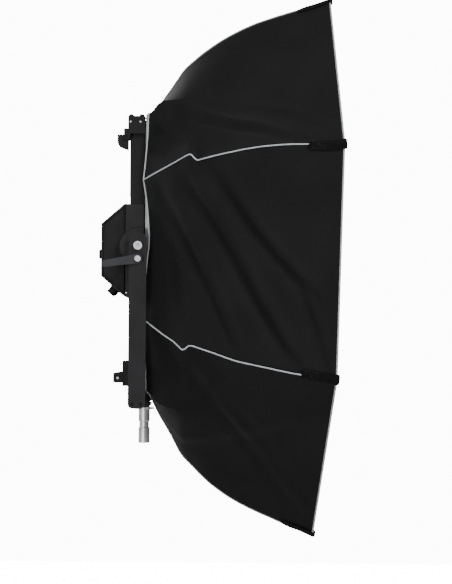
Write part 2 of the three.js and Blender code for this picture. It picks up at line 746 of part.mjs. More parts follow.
// A closed sheet between an outer and an inner grid of points.
function sheetSolid(outer, inner) {
  const rows = outer.length;
  const columns = outer[0].length;
  const points = [...outer.flat(), ...inner.flat()];
  const index = [];
  const at = (layer, i, j) => layer * rows * columns + i * columns + j;
  const quad = (a, b, c, d) => index.push(a, b, c, a, c, d);
  for (let i = 0; i + 1 < rows; i++) {
    for (let j = 0; j + 1 < columns; j++) {
      quad(at(0, i, j), at(0, i, j + 1), at(0, i + 1, j + 1), at(0, i + 1, j));
      quad(at(1, i, j), at(1, i + 1, j), at(1, i + 1, j + 1), at(1, i, j + 1));
    }
    quad(at(0, i, 0), at(0, i + 1, 0), at(1, i + 1, 0), at(1, i, 0));
    quad(at(0, i, columns - 1), at(1, i, columns - 1), at(1, i + 1, columns - 1), at(0, i + 1, columns - 1));
  }
  for (let j = 0; j + 1 < columns; j++) {
    quad(at(0, 0, j), at(1, 0, j), at(1, 0, j + 1), at(0, 0, j + 1));
    quad(at(0, rows - 1, j), at(0, rows - 1, j + 1), at(1, rows - 1, j + 1), at(1, rows - 1, j));
  }
  const geometry = new THREE.BufferGeometry();
  geometry.setAttribute("position", new THREE.Float32BufferAttribute(points.flatMap((p) => p.toArray()), 3));
  geometry.setIndex(index);
  return geometry;
}

// One panel of the cloth, from rib a to rib b, a little short of both seams.
function gore(a, b) {
  const outer = [];
  const inner = [];
  for (const x of goreStations) {
    const short = fit / seam(a, x).distanceTo(seam(b, x));
    const row = [];
    const innerRow = [];
    for (let j = 0; j <= goreColumns; j++) {
      const u = short + ((1 - 2 * short) * j) / goreColumns;
      const p = clothPoint(a, b, x, u);
      row.push(p);
      innerRow.push(p.clone().addScaledVector(outwards(p), -clothThick));
    }
    outer.push(row);
    inner.push(innerRow);
  }
  return sheetSolid(outer, inner);
}

// A flat octagonal sheet across the softbox, a given distance inside the seams. It leans with the mouth.
function diffuser(x, inset) {
  const corners = ribs.map((rib) => {
    const p = seam(rib, hemBack + (x - hemBack) / rib.stretch);
    return p.addScaledVector(outwards(p), -inset);
  });
  const sheet = prismX(outline(corners.map((p) => [p.y, p.z])), x - sheetThick / 2, x + sheetThick / 2);
  const lean = reachShare(x) * mouthLean;
  const leaning = new THREE.Matrix4().set(1, 0, lean, lean * droop, 0, 1, 0, 0, 0, 0, 1, 0, 0, 0, 0, 1);
  return sheet.applyMatrix4(leaning);
}

function buildSoftbox() {
  for (const [name, geometry] of Object.entries(frameBars())) add(head, name, geometry, aluminium);
  ribs.forEach((rib, i) => {
    const next = ribs[(i + 1) % ribs.length];
    add(head, `rib_arm_${rib.name}`, ribArm(rib), moulded);
    add(head, `rib_rod_${rib.name}`, ribRod(rib), fibreglass);
    add(head, `cloth_${goreNames[i]}`, gore(rib, next), cloth);
  });
  add(head, "inner_diffuser", diffuser(innerDiffuserX, innerDiffuserInset), diffuserCloth);
  add(head, "front_diffuser", diffuser(frontDiffuserX, frontDiffuserInset), diffuserCloth);
}

buildYoke();
buildHead();
buildSoftbox();

export default softbox;
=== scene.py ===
# %% [markdown]
# An octagonal softbox on an LED panel head, hung in a tilting yoke.
# The frame, joints and sizes come packed from the design; this notebook adds the looks.
# Everything is in metres, +X is the way the light leaves and +Z is up.

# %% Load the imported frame
import json
import math
import random

import bmesh
import bpy
from mathutils import Matrix, Vector


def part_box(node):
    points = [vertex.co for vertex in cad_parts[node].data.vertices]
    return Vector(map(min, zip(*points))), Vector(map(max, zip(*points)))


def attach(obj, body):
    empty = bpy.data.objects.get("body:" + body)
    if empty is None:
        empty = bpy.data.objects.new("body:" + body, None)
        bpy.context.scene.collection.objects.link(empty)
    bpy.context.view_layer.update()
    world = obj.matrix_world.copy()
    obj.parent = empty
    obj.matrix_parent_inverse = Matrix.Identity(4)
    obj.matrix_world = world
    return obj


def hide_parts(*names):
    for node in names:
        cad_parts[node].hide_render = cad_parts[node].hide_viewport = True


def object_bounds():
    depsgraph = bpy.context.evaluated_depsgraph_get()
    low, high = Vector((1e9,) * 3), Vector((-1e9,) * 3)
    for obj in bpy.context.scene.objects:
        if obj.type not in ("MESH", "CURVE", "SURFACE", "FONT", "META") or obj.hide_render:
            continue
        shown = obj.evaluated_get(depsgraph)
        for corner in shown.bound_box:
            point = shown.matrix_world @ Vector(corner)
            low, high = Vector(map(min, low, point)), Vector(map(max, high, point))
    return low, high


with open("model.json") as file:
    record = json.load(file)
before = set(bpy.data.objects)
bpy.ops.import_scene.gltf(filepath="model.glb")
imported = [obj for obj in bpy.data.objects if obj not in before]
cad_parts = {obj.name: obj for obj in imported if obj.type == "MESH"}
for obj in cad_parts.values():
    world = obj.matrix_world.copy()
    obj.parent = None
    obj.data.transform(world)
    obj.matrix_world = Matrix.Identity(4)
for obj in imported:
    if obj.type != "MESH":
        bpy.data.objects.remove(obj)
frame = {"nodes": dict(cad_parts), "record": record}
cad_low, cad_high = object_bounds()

behaviour = frame["record"]["behaviour"]
body_of = {node: body for body, nodes in behaviour["bodies"].items() for node in nodes}
slot_of = {part["node"]: part["material_slot"] for part in frame["record"]["subparts"]}
tilt_axis = Vector(next(j["pos_m"] for j in behaviour["joints"] if j["name"] == "head_tilt"))
tray_low, tray_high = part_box("panel_tray")
head_middle = (tray_low.z + tray_high.z) / 2

# %% [markdown]
# The camera stands level with the yoke, square to the softbox's right side.
# A long lens keeps the octagon's rim nearly upright. It looks slightly up and is rolled a little.

# %% Camera
camera_data = bpy.data.cameras.new("camera")
camera_data.sensor_width = 36
camera_data.lens = 148.3
camera = bpy.data.objects.new("camera", camera_data)
bpy.context.scene.collection.objects.link(camera)
camera_pitch, camera_roll = math.radians(1.29), math.radians(0.5)
camera.location = tilt_axis + Vector((0.2074, -6.069, -0.234))
looking = Vector((0, math.cos(camera_pitch), math.sin(camera_pitch)))
turn = looking.to_track_quat("-Z", "Y").to_matrix() @ Matrix.Rotation(camera_roll, 3, "Z")
camera.rotation_euler = turn.to_euler()
bpy.context.scene.camera = camera
print("camera", round((camera.location - tilt_axis).length, 3), "m from the tilt axis, lens", camera_data.lens)

# %% [markdown]
# Colours are written as sRGB hex values, as a colour picker gives them, and one function turns them
# into the linear numbers Blender wants. The other helpers add shader nodes and build a finish.

# %% Colour and node helpers
def linear(hex_colour):
    parts = [int(hex_colour[i:i + 2], 16) / 255 for i in (1, 3, 5)]
    return (*[c / 12.92 if c <= 0.04045 else ((c + 0.055) / 1.055) ** 2.4 for c in parts], 1.0)


def add_node(tree, kind, values=None, links=None, **settings):
    """One node, with its settings, the values of its sockets and the links into it."""
    made = tree.nodes.new(kind)
    for key, value in settings.items():
        setattr(made, key, value)
    for key, value in (values or {}).items():
        made.inputs[key].default_value = value
    for key, source in (links or {}).items():
        tree.links.new(source, made.inputs[key])
    return made


def finish(name, hex_colour, roughness, metallic=0.0):
    """A material with a plain principled shader, and its node tree and shader."""
    material = bpy.data.materials.new(name)
    material.use_nodes = True
    tree = material.node_tree
    shader = tree.nodes["Principled BSDF"]
    shader.inputs["Base Color"].default_value = linear(hex_colour)
    shader.inputs["Roughness"].default_value = roughness
    shader.inputs["Metallic"].default_value = metallic
    return material, tree, shader


def between(tree, source, hex_a, hex_b, low=0.4, high=0.6):
    """A colour that goes from one value to another as a grey pattern goes from low to high."""
    ramp = add_node(tree, "ShaderNodeValToRGB", links={"Fac": source})
    for element, place, hex_colour in zip(ramp.color_ramp.elements, (low, high), (hex_a, hex_b)):
        element.position = place
        element.color = linear(hex_colour)
    return ramp.outputs["Color"]


def bumps(tree, shader, height, depth_mm, strength=1.0, below=None):
    """Feeds a grey pattern to the shader's normal, as relief of a given depth."""
    links = {"Height": height}
    if below:
        links["Normal"] = below
    bump = add_node(tree, "ShaderNodeBump", {"Distance": depth_mm / 1000, "Strength": strength}, links)
    tree.links.new(bump.outputs["Normal"], shader.inputs["Normal"])
    return bump.outputs["Normal"]


def noise(tree, coordinates, size_mm, detail=4.0, stretch=(1, 1, 1)):
    """Patches of a given size, stretched along the axes."""
    scale = [1000 / size_mm / s for s in stretch]
    mapped = add_node(tree, "ShaderNodeMapping", {"Scale": scale}, {"Vector": coordinates})
    return add_node(tree, "ShaderNodeTexNoise", {"Scale": 1.0, "Detail": detail},
                    {"Vector": mapped.outputs["Vector"]}).outputs["Fac"]


print("helpers ready")

# %% [markdown]
# Product lighting. The key is a soft panel, high and in front on the camera's side: black cloth
# shows its folds only where a broad light grazes it. A low fill stands beside the camera, and three
# weaker panels light the far side, the back and the front. A white surround gives the rest. The
# camera sees the surround and the floor far brighter than the object does.

# %% Floor and lights
object_middle = (cad_low + cad_high) / 2
floor_half, floor_drop = 4, 0.45
surround_light, surround_in_reflections, white_for_camera = 0.24, 0.4, 16.0


def soft_light(name, offset, size, watts):
    """A soft panel at an offset from the object's middle, facing it."""
    data = bpy.data.lights.new(name, "AREA")
    data.shape, data.size, data.size_y, data.energy = "RECTANGLE", size[0], size[1], watts
    lamp = bpy.data.objects.new(name, data)
    lamp.location = object_middle + Vector(offset)
    lamp.rotation_euler = (object_middle - lamp.location).to_track_quat("-Z", "Y").to_euler()
    bpy.context.scene.collection.objects.link(lamp)


for name, offset, size, watts in (
    ("key", (2.0, -3.4, 2.6), (1.4, 1.0), 215), ("fill", (-1.6, -3.4, -0.2), (1.2, 1.2), 62),
    ("far side", (-1.0, 3.4, 2.4), (2.4, 2.0), 60), ("back", (-3.8, 1.4, 1.2), (1.6, 1.2), 70),
    ("front", (3.8, 1.6, 1.0), (1.6, 1.2), 60),
):
    soft_light(name, offset, size, watts)

world = bpy.data.worlds.new("white_surround")
world.use_nodes = True
tree = world.node_tree
surround = tree.nodes["Background"]
surround.inputs["Color"].default_value = (1, 1, 1, 1)
surround.inputs["Strength"].default_value = surround_light
ray = add_node(tree, "ShaderNodeLightPath")
below = surround.outputs["Background"]
for kind, strength in (("Is Glossy Ray", surround_in_reflections), ("Is Camera Ray", white_for_camera)):
    seen = add_node(tree, "ShaderNodeBackground", {"Strength": strength})
    chosen = add_node(tree, "ShaderNodeMixShader",
                      links={"Fac": ray.outputs[kind], 1: below, 2: seen.outputs["Background"]})
    below = chosen.outputs["Shader"]
tree.links.new(below, tree.nodes["World Output"].inputs["Surface"])
bpy.context.scene.world = world

bm = bmesh.new()
bmesh.ops.create_grid(bm, x_segments=2, y_segments=2, size=floor_half)
floor_mesh = bpy.data.meshes.new("floor")
bm.to_mesh(floor_mesh)
bm.free()
floor_mesh.transform(Matrix.Translation((object_middle.x, object_middle.y, cad_low.z - floor_drop)))
white_paper, tree, paper = finish("white_paper_floor", "#ffffff", 0.9)
paper.inputs["Base Color"].default_value = (0.6, 0.6, 0.6, 1)
glow = add_node(tree, "ShaderNodeEmission", {"Strength": white_for_camera})
chosen = add_node(tree, "ShaderNodeMixShader",
                  links={"Fac": add_node(tree, "ShaderNodeLightPath").outputs["Is Camera Ray"],
                         1: paper.outputs["BSDF"], 2: glow.outputs["Emission"]})
tree.links.new(chosen.outputs["Shader"], tree.nodes["Material Output"].inputs["Surface"])
floor_mesh.materials.append(white_paper)
floor = bpy.data.objects.new("floor", floor_mesh)
bpy.context.scene.collection.objects.link(floor)
print("object from", tuple(cad_low), "to", tuple(cad_high))

# %% [markdown]
# The softbox's outer cloth is black polyester, woven tight and coated on the inside. It is matt,
# with a faint silky sheen at grazing angles. The threads are 0.4 mm apart on the real cloth, too
# fine to show from metres away, so the weave is drawn at 1.6 mm. It follows the cloth by its UVs,
# which are in metres: one wave runs along each of the two thread directions.

# %% Woven cloth finishes
wave_cycle = 6.2832  # the wave texture's phase over one thread


def woven(name, hex_a, hex_b, thread_mm, roughness, relief_mm, patch_mm=60):
    material, tree, shader = finish(name, hex_a, roughness)
    shader.inputs["Sheen Weight"].default_value = 0.04
    shader.inputs["Sheen Roughness"].default_value = 0.45
    shader.inputs["Specular IOR Level"].default_value = 0.12
    uv = add_node(tree, "ShaderNodeTexCoord").outputs["UV"]
    threads = []
    for direction in ("X", "Y"):
        wave = add_node(tree, "ShaderNodeTexWave",
                        {"Scale": 1000 / thread_mm / wave_cycle, "Distortion": 0.6, "Detail": 1.0},
                        {"Vector": uv}, bands_direction=direction)
        threads.append(wave.outputs["Fac"])
    weave = add_node(tree, "ShaderNodeMath", links={0: threads[0], 1: threads[1]}, operation="MULTIPLY")
    patches = noise(tree, uv, patch_mm, detail=5.0)
    tree.links.new(between(tree, patches, hex_a, hex_b), shader.inputs["Base Color"])
    creases = noise(tree, uv, 90, detail=2.0, stretch=(1, 3, 1))
    below = bumps(tree, shader, creases, 1.2, 0.4)
    bumps(tree, shader, weave.outputs["Value"], relief_mm, 0.5, below)
    return material


black_polyester = woven("black_polyester_cloth", "#0f0f10", "#121213", 1.6, 0.78, 0.12, 160)
white_nylon = woven("white_diffuser_nylon", "#eeeeea", "#f6f6f3", 1.4, 0.75, 0.08, 140)
silver_lining = woven("silver_lining_cloth", "#a9abad", "#b9bbbd", 1.4, 0.45, 0.06)
silver_lining.node_tree.nodes["Principled BSDF"].inputs["Metallic"].default_value = 0.6
nylon_webbing = woven("black_nylon_webbing", "#040405", "#070708", 2.4, 0.85, 0.4, 12)
grey_piping = woven("reflective_grey_piping", "#9a9ea1", "#a9adb0", 1.2, 0.5, 0.1, 20)
grey_binding = woven("grey_edge_binding", "#8d9194", "#9da1a4", 1.2, 0.6, 0.15, 20)
print("cloth finishes ready")

# %% [markdown]
# Hard finishes. Powder coat is a baked polyester skin with fine orange-peel ripples and a satin
# gloss. Moulded ABS has a spark-eroded grain. The pin and bolts are steel plated with zinc, which
# mirrors its surroundings softly. Steel and aluminium keep the default IOR.

# %% Painted, moulded and metal finishes
def coated(name, hex_a, hex_b, roughness, grain_mm, relief_mm, metallic=0.0, scuffs=0.12,
           stretch=(1, 1, 1)):
    material, tree, shader = finish(name, hex_a, roughness, metallic)
    if metallic == 0:
        shader.inputs["Specular IOR Level"].default_value = 0.2
    place = add_node(tree, "ShaderNodeTexCoord").outputs["Object"]
    tree.links.new(between(tree, noise(tree, place, 45, 6.0), hex_a, hex_b), shader.inputs["Base Color"])
    worn = noise(tree, place, 14, 8.0, stretch)
    spread = add_node(tree, "ShaderNodeMapRange",
                      {"From Min": 0.35, "From Max": 0.7, "To Min": roughness - scuffs / 2,
                       "To Max": roughness + scuffs}, {"Value": worn})
    tree.links.new(spread.outputs["Result"], shader.inputs["Roughness"])
    bumps(tree, shader, noise(tree, place, grain_mm, 2.0, stretch), relief_mm, 0.35)
    return material


satin_powder_coat = coated("satin_black_powder_coat", "#101011", "#151517", 0.46, 1.6, 0.10)
# The same black powder coat, painted darker for the panel's body, housing, end plates, louvres, rails and
# beads: painted shade where those faces stand in shadow.
powder_coat_painted_shade = coated("powder_coat_painted_shade", "#030304", "#060607", 0.52, 1.6, 0.10)
cast_bracket_paint = coated("painted_cast_bracket", "#131314", "#18181a", 0.48, 1.2, 0.14)
moulded_abs = coated("moulded_black_abs", "#08080a", "#0c0c0d", 0.55, 0.9, 0.08)
lever_nylon = coated("grey_nylon_lever", "#26262a", "#2e2e32", 0.5, 0.9, 0.06)
black_rubber = coated("black_rubber", "#0b0b0c", "#101011", 0.7, 1.0, 0.06)
zinc_plate = coated("zinc_plated_steel", "#c6c8ca", "#d4d6d8", 0.32, 2.5, 0.02, 0.55, 0.1)
bare_extrusion = coated("satin_aluminium_extrusion", "#9b9da0", "#a9abae", 0.36, 1.0, 0.03, 1.0, 0.1,
                        (8, 1, 1))
pultruded_rod = coated("dark_pultruded_fibreglass", "#1d1e20", "#26272a", 0.35, 1.2, 0.04, 0.0, 0.1,
                       (6, 1, 1))
opal_acrylic = coated("opal_acrylic", "#efefea", "#f4f4f0", 0.32, 6.0, 0.02)
board_mask = coated("white_solder_mask", "#e6e6e0", "#ecece6", 0.45, 2.0, 0.03)
display_glass = coated("smoked_display_glass", "#08090a", "#0b0c0e", 0.12, 8.0, 0.0, 0.0, 0.04)

slot_finish = {
    "cloth": black_polyester,
    "diffuser_cloth": white_nylon,
    "fibreglass": pultruded_rod,
    "bare_aluminium": bare_extrusion,
    "steel": zinc_plate,
    "board": board_mask,
    "opal": opal_acrylic,
    "black_paint": satin_powder_coat,
    "black_plastic": moulded_abs,
}
print(len(slot_finish), "slots have a finish")

# %% [markdown]
# Finished pieces all enter the scene the same way: a mesh at the origin, its finish, the body that
# it rides on, and the design node that it stands for.

# %% Placing a finished piece
def piece_from(bm, name, material, body="head", smooth=40, replaces=None):
    mesh = bpy.data.meshes.new(name)
    bm.to_mesh(mesh)
    bm.free()
    for face in mesh.polygons:
        face.use_smooth = smooth > 0
    if smooth:
        mesh.set_sharp_from_angle(angle=math.radians(smooth))
    mesh.materials.append(material)
    made = bpy.data.objects.new(name, mesh)
    bpy.context.scene.collection.objects.link(made)
    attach(made, body)
    if replaces:
        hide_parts(replaces)
    return made


def even_normals(made):
    """Flat faces stay flat in the light beside their rounded edges."""
    made.modifiers.new("even_normals", "WEIGHTED_NORMAL").keep_sharp = True


def thicken(made, name, thickness, offset):
    """Gives a sheet its thickness: offset -1 is inwards, 0 is both ways."""
    wall = made.modifiers.new(name, "SOLIDIFY")
    wall.thickness, wall.offset = thickness, offset
    return wall


def bevel(bm, edges, width_mm, segments=2):
    bmesh.ops.bevel(bm, geom=edges, offset=width_mm / 1000, affect="EDGES", segments=segments,
                    profile=0.5, material=-1, clamp_overlap=True)


print("ready to place pieces")

# %% [markdown]
# The cloth's shape. Eight ribs leave the panel's frame on straight arms, turn at a knuckle and bow
# out to the mouth. The seam over each rib follows the same curve. A seam's place at a depth x is
# its root on the frame, moved towards its tip at the mouth by the share of the way it has gained.

# %% The line of a seam
frame_bar = 0.018
frame_half_width, frame_half_height = 0.400, tray_high.z - head_middle + frame_bar
hem_depth, frame_front, knee_depth, mouth_depth, side_mouth_depth = 0.0105, 0.039, 0.0978, 0.4368, 0.4662
rib_foot = 0.017  # where a top or bottom rib starts to leave the frame
knee_share = 0.42
start_slope, arm_slope, rod_slope, mouth_slope = (s / mouth_depth for s in (2.53, 1.97, 1.57, 0.52))
mouth_droop, mouth_lean = 0.027, 0.025
slack_share = 0.017  # the sewn cloth runs this much inside the ribs' own curve, midway
octagon_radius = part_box("cloth_left")[1].y / math.cos(math.pi / 8)
mouth_near, mouth_far = octagon_radius * math.sin(math.pi / 8), octagon_radius * math.cos(math.pi / 8)
side_root, top_root = frame_half_height * 0.51, frame_half_width * 0.625

ribs = {}
heights = ("top", "upper", "lower", "bottom")
for side, down_or_up in ((-1, heights), (1, heights[::-1])):
    for height in down_or_up:
        signs = Vector((side, 1 if height in ("top", "upper") else -1))
        root, tip = (frame_half_width, side_root), (mouth_far, mouth_near)
        if height in ("top", "bottom"):
            root, tip = (top_root, frame_half_height), (mouth_near, mouth_far)
        ribs[f"{height}_{'left' if side > 0 else 'right'}"] = (Vector(root) * signs, Vector(tip) * signs)
rib_names = list(ribs)
rib_roots = [root for root, tip in ribs.values()]
rib_tips = [tip - Vector((0, mouth_droop)) for root, tip in ribs.values()]
on_side = [name.startswith(("upper", "lower")) for name in rib_names]
side_stretch = (side_mouth_depth - hem_depth) / (mouth_depth - hem_depth)
rib_start = [hem_depth if side else rib_foot for side in on_side]
rib_stretch = [side_stretch if side else 1.0 for side in on_side]
# The pull of the cloth moves each seam off the ribs' even curve, by (depth, rise) in millimetres.
drawn = {
    "upper": [(0, 2.6), (14, 1.8), (60, 1.2), (85, 1.6), (105, 2.6), (122, 4.4), (133, 3.2), (160, 4.2),
              (177, 5.3), (212, 6.8), (250, 8.9), (290, 10.2), (318, 9.8), (353, 8.6), (380, 6.4),
              (410, 3.2), (437, 1.0), (466, 0), (520, 0)],
    "lower": [(0, 9.5), (18, 12.4), (47, 12.2), (60, 11.0), (87, 11.4), (98, 8.4), (107, 4.6), (114, 5.4),
              (122, 9.4), (132, 12.2), (160, 12.4), (177, 12.0), (195, 10.6), (212, 8.6), (235, 6.4),
              (265, 6.0), (300, 4.7), (335, 2.4), (360, 0.8), (420, 0), (520, 0)],
    "top": [(0, 0), (17, 0), (25, -9), (39, -7.5), (47, -6.0), (58, -6.2), (72, -5), (85, -2.4), (98, 0.6),
            (110, 1.4), (130, 1.5), (270, 2.2), (308, 1.2), (400, 0), (520, 0)],
    "bottom": [(0, 0), (17, 0), (25, 9), (39, 8.5), (52, 8.6), (58, 11.2), (72, 12.8), (80, 13.8),
               (87, 12.2), (93, 9.2), (100, 5.4), (107, 4.2), (120, 5.2), (133, 6.0), (153, 4.6),
               (173, 2.9), (232, 1.6), (311, 0.6), (351, -1.2), (410, 0), (520, 0)],
}
rib_rise = [drawn[name.split("_")[0]] for name in rib_names]
gore_names = ["top_right", "right", "bottom_right", "bottom", "bottom_left", "left", "top_left", "top"]


def share_of(value, low=0.0, high=1.0):
    """How far a value is on its way from low to high, held between 0 and 1."""
    return min(1.0, max(0.0, (value - low) / (high - low)))


def gentle(t):
    """A share of the way that starts and ends slowly."""
    return t * t * (3 - 2 * t)


def eased(x, x0, v0, m0, x1, v1, m1):
    """A cubic with the given values and slopes at its two ends."""
    h = x1 - x0
    t = (x - x0) / h
    return v0 * (1 - gentle(t)) + v1 * gentle(t) + h * (m0 * t * (1 - t) ** 2 - m1 * t * t * (1 - t))


def gained(x, start=rib_foot):
    """The share of its sideways reach that a rib has gained at a station x."""
    if x <= start:
        return 0.0
    if x < knee_depth:
        return eased(x, start, 0, start_slope, knee_depth, knee_share, arm_slope)
    return eased(x, knee_depth, knee_share, rod_slope, mouth_depth, 1, mouth_slope)


def drawn_up(rib, depth):
    """How far the pull of the cloth raises a rib at a depth."""
    table = rib_rise[rib]
    for (d0, r0), (d1, r1) in zip(table, table[1:]):
        if depth * 1000 < d1:
            t = share_of(depth * 1000, d0, d1)
            return (r0 + (r1 - r0) * (t + gentle(t)) / 2) / 1000
    return 0.0


def seam(rib, x):
    """Where the cloth lies over a rib. A station x is a top rib's depth; a side rib reaches further."""
    rib = rib % 8
    bow = math.sin(math.pi * share_of(x, hem_depth, mouth_depth)) ** 0.7
    share = gained(x, rib_start[rib]) - slack_share * bow
    across = rib_roots[rib].lerp(rib_tips[rib], share)
    leaning = share * mouth_lean * (rib_tips[rib].y + mouth_droop)
    depth = hem_depth + (x - hem_depth) * rib_stretch[rib] + leaning
    return Vector((depth, across.x, across.y + drawn_up(rib, depth)))


def in_row(point):
    """A point measured from the head's middle, as a point of the whole object."""
    return Vector((tilt_axis.x + point.x, point.y, head_middle + point.z))


def outwards(point):
    """The direction out of the softbox's middle line, level with a point."""
    return Vector((0, point.y, point.z)).normalized()


print("octagon radius", round(octagon_radius, 4), "m, seam reach at the knee", seam(1, knee_depth))

# %% [markdown]
# Between two seams the cloth is pulled tight, so it is nearly flat across and sags a few
# millimetres. At the rear it wraps the frame's corner and hugs it, and the corner fades out of the
# cloth over 180 mm. The rib arms lift it near the seams, and it drops back past each knuckle. On
# the sides it is tucked in where the yoke's arms pass as the head tilts.

# %% A point of the cloth
corner_ease, corner_gap, corner_fade, cloth_sag = 0.18, 0.003, 1.75, 0.010
arm_tuck, arm_tuck_end = 0.0085, 0.066
corner_hug, corner_hug_end = 0.0055, 0.052
# A knuckle's end, the length of the fall past it, and how far it lifts the cloth outwards and up.
plain_knuckle = (0.107, 0.013, 0.0, 0.0)
knuckle_shape = {"upper": (0.1175, 0.020, 0.0065, 0.0150), "lower": (0.109, 0.020, 0.0065, -0.0085)}
knuckle_of_rib = [knuckle_shape.get(name.split("_")[0], plain_knuckle) for name in rib_names]
knuckle_rounding, knuckle_spread = 0.1, 0.045


def taut(gore, x, u):
    """The smooth cloth of a gore at a station x, with u from 0 at its first seam to 1 at its second."""
    a, b = gore % 8, (gore + 1) % 8
    point = seam(a, x).lerp(seam(b, x), u)
    out = outwards(point)
    off_middle = abs(2 * u - 1)
    if on_side[a] != on_side[b]:
        root_a, root_b = rib_roots[a], rib_roots[b]
        ease = share_of(x - frame_front - corner_gap, 0, corner_ease)
        corner = Vector((math.copysign(frame_half_width, root_a.x),
                         math.copysign(frame_half_height, root_a.y)))
        push = corner - (root_a + root_b) / 2
        push *= (1 - ease) ** corner_fade * (1 - off_middle ** (1 + ease))
        hug = corner_hug * math.sin(math.pi * share_of(x, hem_depth, corner_hug_end)) ** 0.8
        hug_push = Vector((0, -math.copysign(1, push.x), -math.copysign(1, push.y))) * hug
        point = point + Vector((0, push.x, push.y)) + hug_push * (1 - off_middle ** 2)
    elif on_side[a]:
        tucked = math.sin(math.pi * share_of(x, hem_depth, arm_tuck_end))
        point.y -= math.copysign(arm_tuck, point.y) * tucked * (4 * u * (1 - u)) ** 2
    sag = cloth_sag * math.sin(math.pi * share_of(x, hem_depth, mouth_depth))
    return point - out * sag * 4 * u * (1 - u)


def knuckle_ramp(rib, x):
    """0 at the hem, 1 at the end of a knuckle with a rounded top, and back to 0 past it."""
    end, fall = knuckle_of_rib[rib][:2]
    depth = hem_depth + (x - hem_depth) * rib_stretch[rib]
    if depth < end:
        climb = share_of(depth, hem_depth, end)
        over = max(0.0, climb - 1 + knuckle_rounding)
        return (climb - over * over / (2 * knuckle_rounding)) / (1 - knuckle_rounding / 2)
    return 1 - gentle(share_of(depth - end, 0, fall))


def knuckle_push(gore, x, u):
    """The arms lift the cloth off the ribs' curve up to the end of each knuckle, where it drops back."""
    push = Vector()
    width = (seam(gore, x) - seam(gore + 1, x)).length
    for rib, near in ((gore % 8, u), ((gore + 1) % 8, 1 - u)):
        lift = outwards(seam(rib, x)) * knuckle_of_rib[rib][2] + Vector((0, 0, knuckle_of_rib[rib][3]))
        push += lift * knuckle_ramp(rib, x) * math.exp(-(near * width / knuckle_spread) ** 2)
    return push


def cloth_normal(gore, x, u, step=0.002, share=0.01):
    """The outward direction of the smooth cloth, from its slopes over a short step each way."""
    x0, x1 = max(x - step, 0.0), min(x + step, mouth_depth)
    u0, u1 = max(u - share, 0.0), min(u + share, 1.0)
    along = taut(gore, x1, u) - taut(gore, x0, u)
    across = taut(gore, x, u1) - taut(gore, x, u0)
    normal = along.cross(across).normalized()
    return normal if normal.dot(outwards(taut(gore, x, u))) > 0 else -normal


print("side cloth from", taut(1, hem_depth, 0.5), "at the hem to", taut(1, mouth_depth, 0.5), "at the mouth")


# %% [markdown]
# Long folds run across the cloth where it is pulled harder along one diagonal: each is a soft ridge
# beside a shallow valley. The right side's folds and those of the gore above it are drawn line by
# line and the left mirrors them. The other gores take theirs from a seeded generator.

# %% Folds
# Each fold is a line of (share of the depth, share across) points, its height and its half width.
side_folds = [
    ([(0.09, 0.08), (0.19, 0.30), (0.30, 0.545), (0.41, 0.77), (0.505, 0.97)], 0.0072, 0.016),
    ([(0.205, 0.04), (0.33, 0.25), (0.455, 0.458), (0.595, 0.696), (0.70, 0.84), (0.815, 0.975)],
     0.0088, 0.0185),
    ([(0.345, 0.035), (0.45, 0.20), (0.565, 0.366), (0.69, 0.50), (0.80, 0.58), (0.875, 0.64)],
     0.0066, 0.017),
    ([(0.755, 0.57), (0.81, 0.63), (0.865, 0.73), (0.955, 0.95)], 0.0036, 0.015),
    ([(0.145, 0.34), (0.195, 0.69), (0.255, 0.97)], 0.0030, 0.017),
    ([(0.03, 0.06), (0.035, 0.45), (0.05, 0.8)], 0.0022, 0.011),
]
corner_folds = [
    ([(0.03, 0.48), (0.2, 0.6), (0.39, 0.72), (0.58, 0.84), (0.74, 0.95)], 0.0052, 0.016),
    ([(0.04, 0.62), (0.12, 0.74), (0.24, 0.9)], 0.0034, 0.014),
    ([(0.58, 0.68), (0.72, 0.75), (0.86, 0.84)], 0.0020, 0.018),
]
fold_gain = 2.3  # brings a fold's crest up to its height
seam_fade, hem_fade, mouth_fade = 0.045, 0.07, 0.06  # metres from a seam, shares of the depth
hem_arch, side_arch, side_arch_loss = 0.0095, 0.0145, 0.0055


def seeded_folds(seed, count):
    """Folds that fan out from a gore's rear corners towards the far side of the mouth."""
    pick = random.Random(seed)
    folds = []
    for _ in range(count):
        from_first = pick.random() < 0.6
        start = (pick.uniform(0.02, 0.3), pick.uniform(0.0, 0.15))
        bend = (pick.uniform(0.35, 0.55), pick.uniform(0.3, 0.5))
        end = (pick.uniform(0.75, 1.0), pick.uniform(0.55, 0.9))
        line = [start, bend, end] if from_first else [(s, 1 - u) for s, u in (start, bend, end)]
        folds.append((line, pick.uniform(0.0014, 0.0030), pick.uniform(0.018, 0.030)))
    return folds


gore_folds = {name: seeded_folds(index + 11, 4) for index, name in enumerate(gore_names)}
for right, left, folds in (("top_right", "top_left", corner_folds), ("right", "left", side_folds)):
    gore_folds[right] = folds
    gore_folds[left] = [([(s, 1 - u) for s, u in line], height, half) for line, height, half in folds]


def off_line(point, line):
    """Signed distance from a point to a bent line, and how far along the line it falls."""
    best, steps = None, len(line) - 1
    for step in range(steps):
        start, end = line[step], line[step + 1]
        run = end - start
        t = share_of((point - start).dot(run) / run.length_squared)
        gap = point - start - run * t
        side = 1.0 if run.x * gap.y - run.y * gap.x > 0 else -1.0
        if best is None or gap.length < abs(best[0]):
            best = (side * gap.length, (step + t) / steps)
    return best


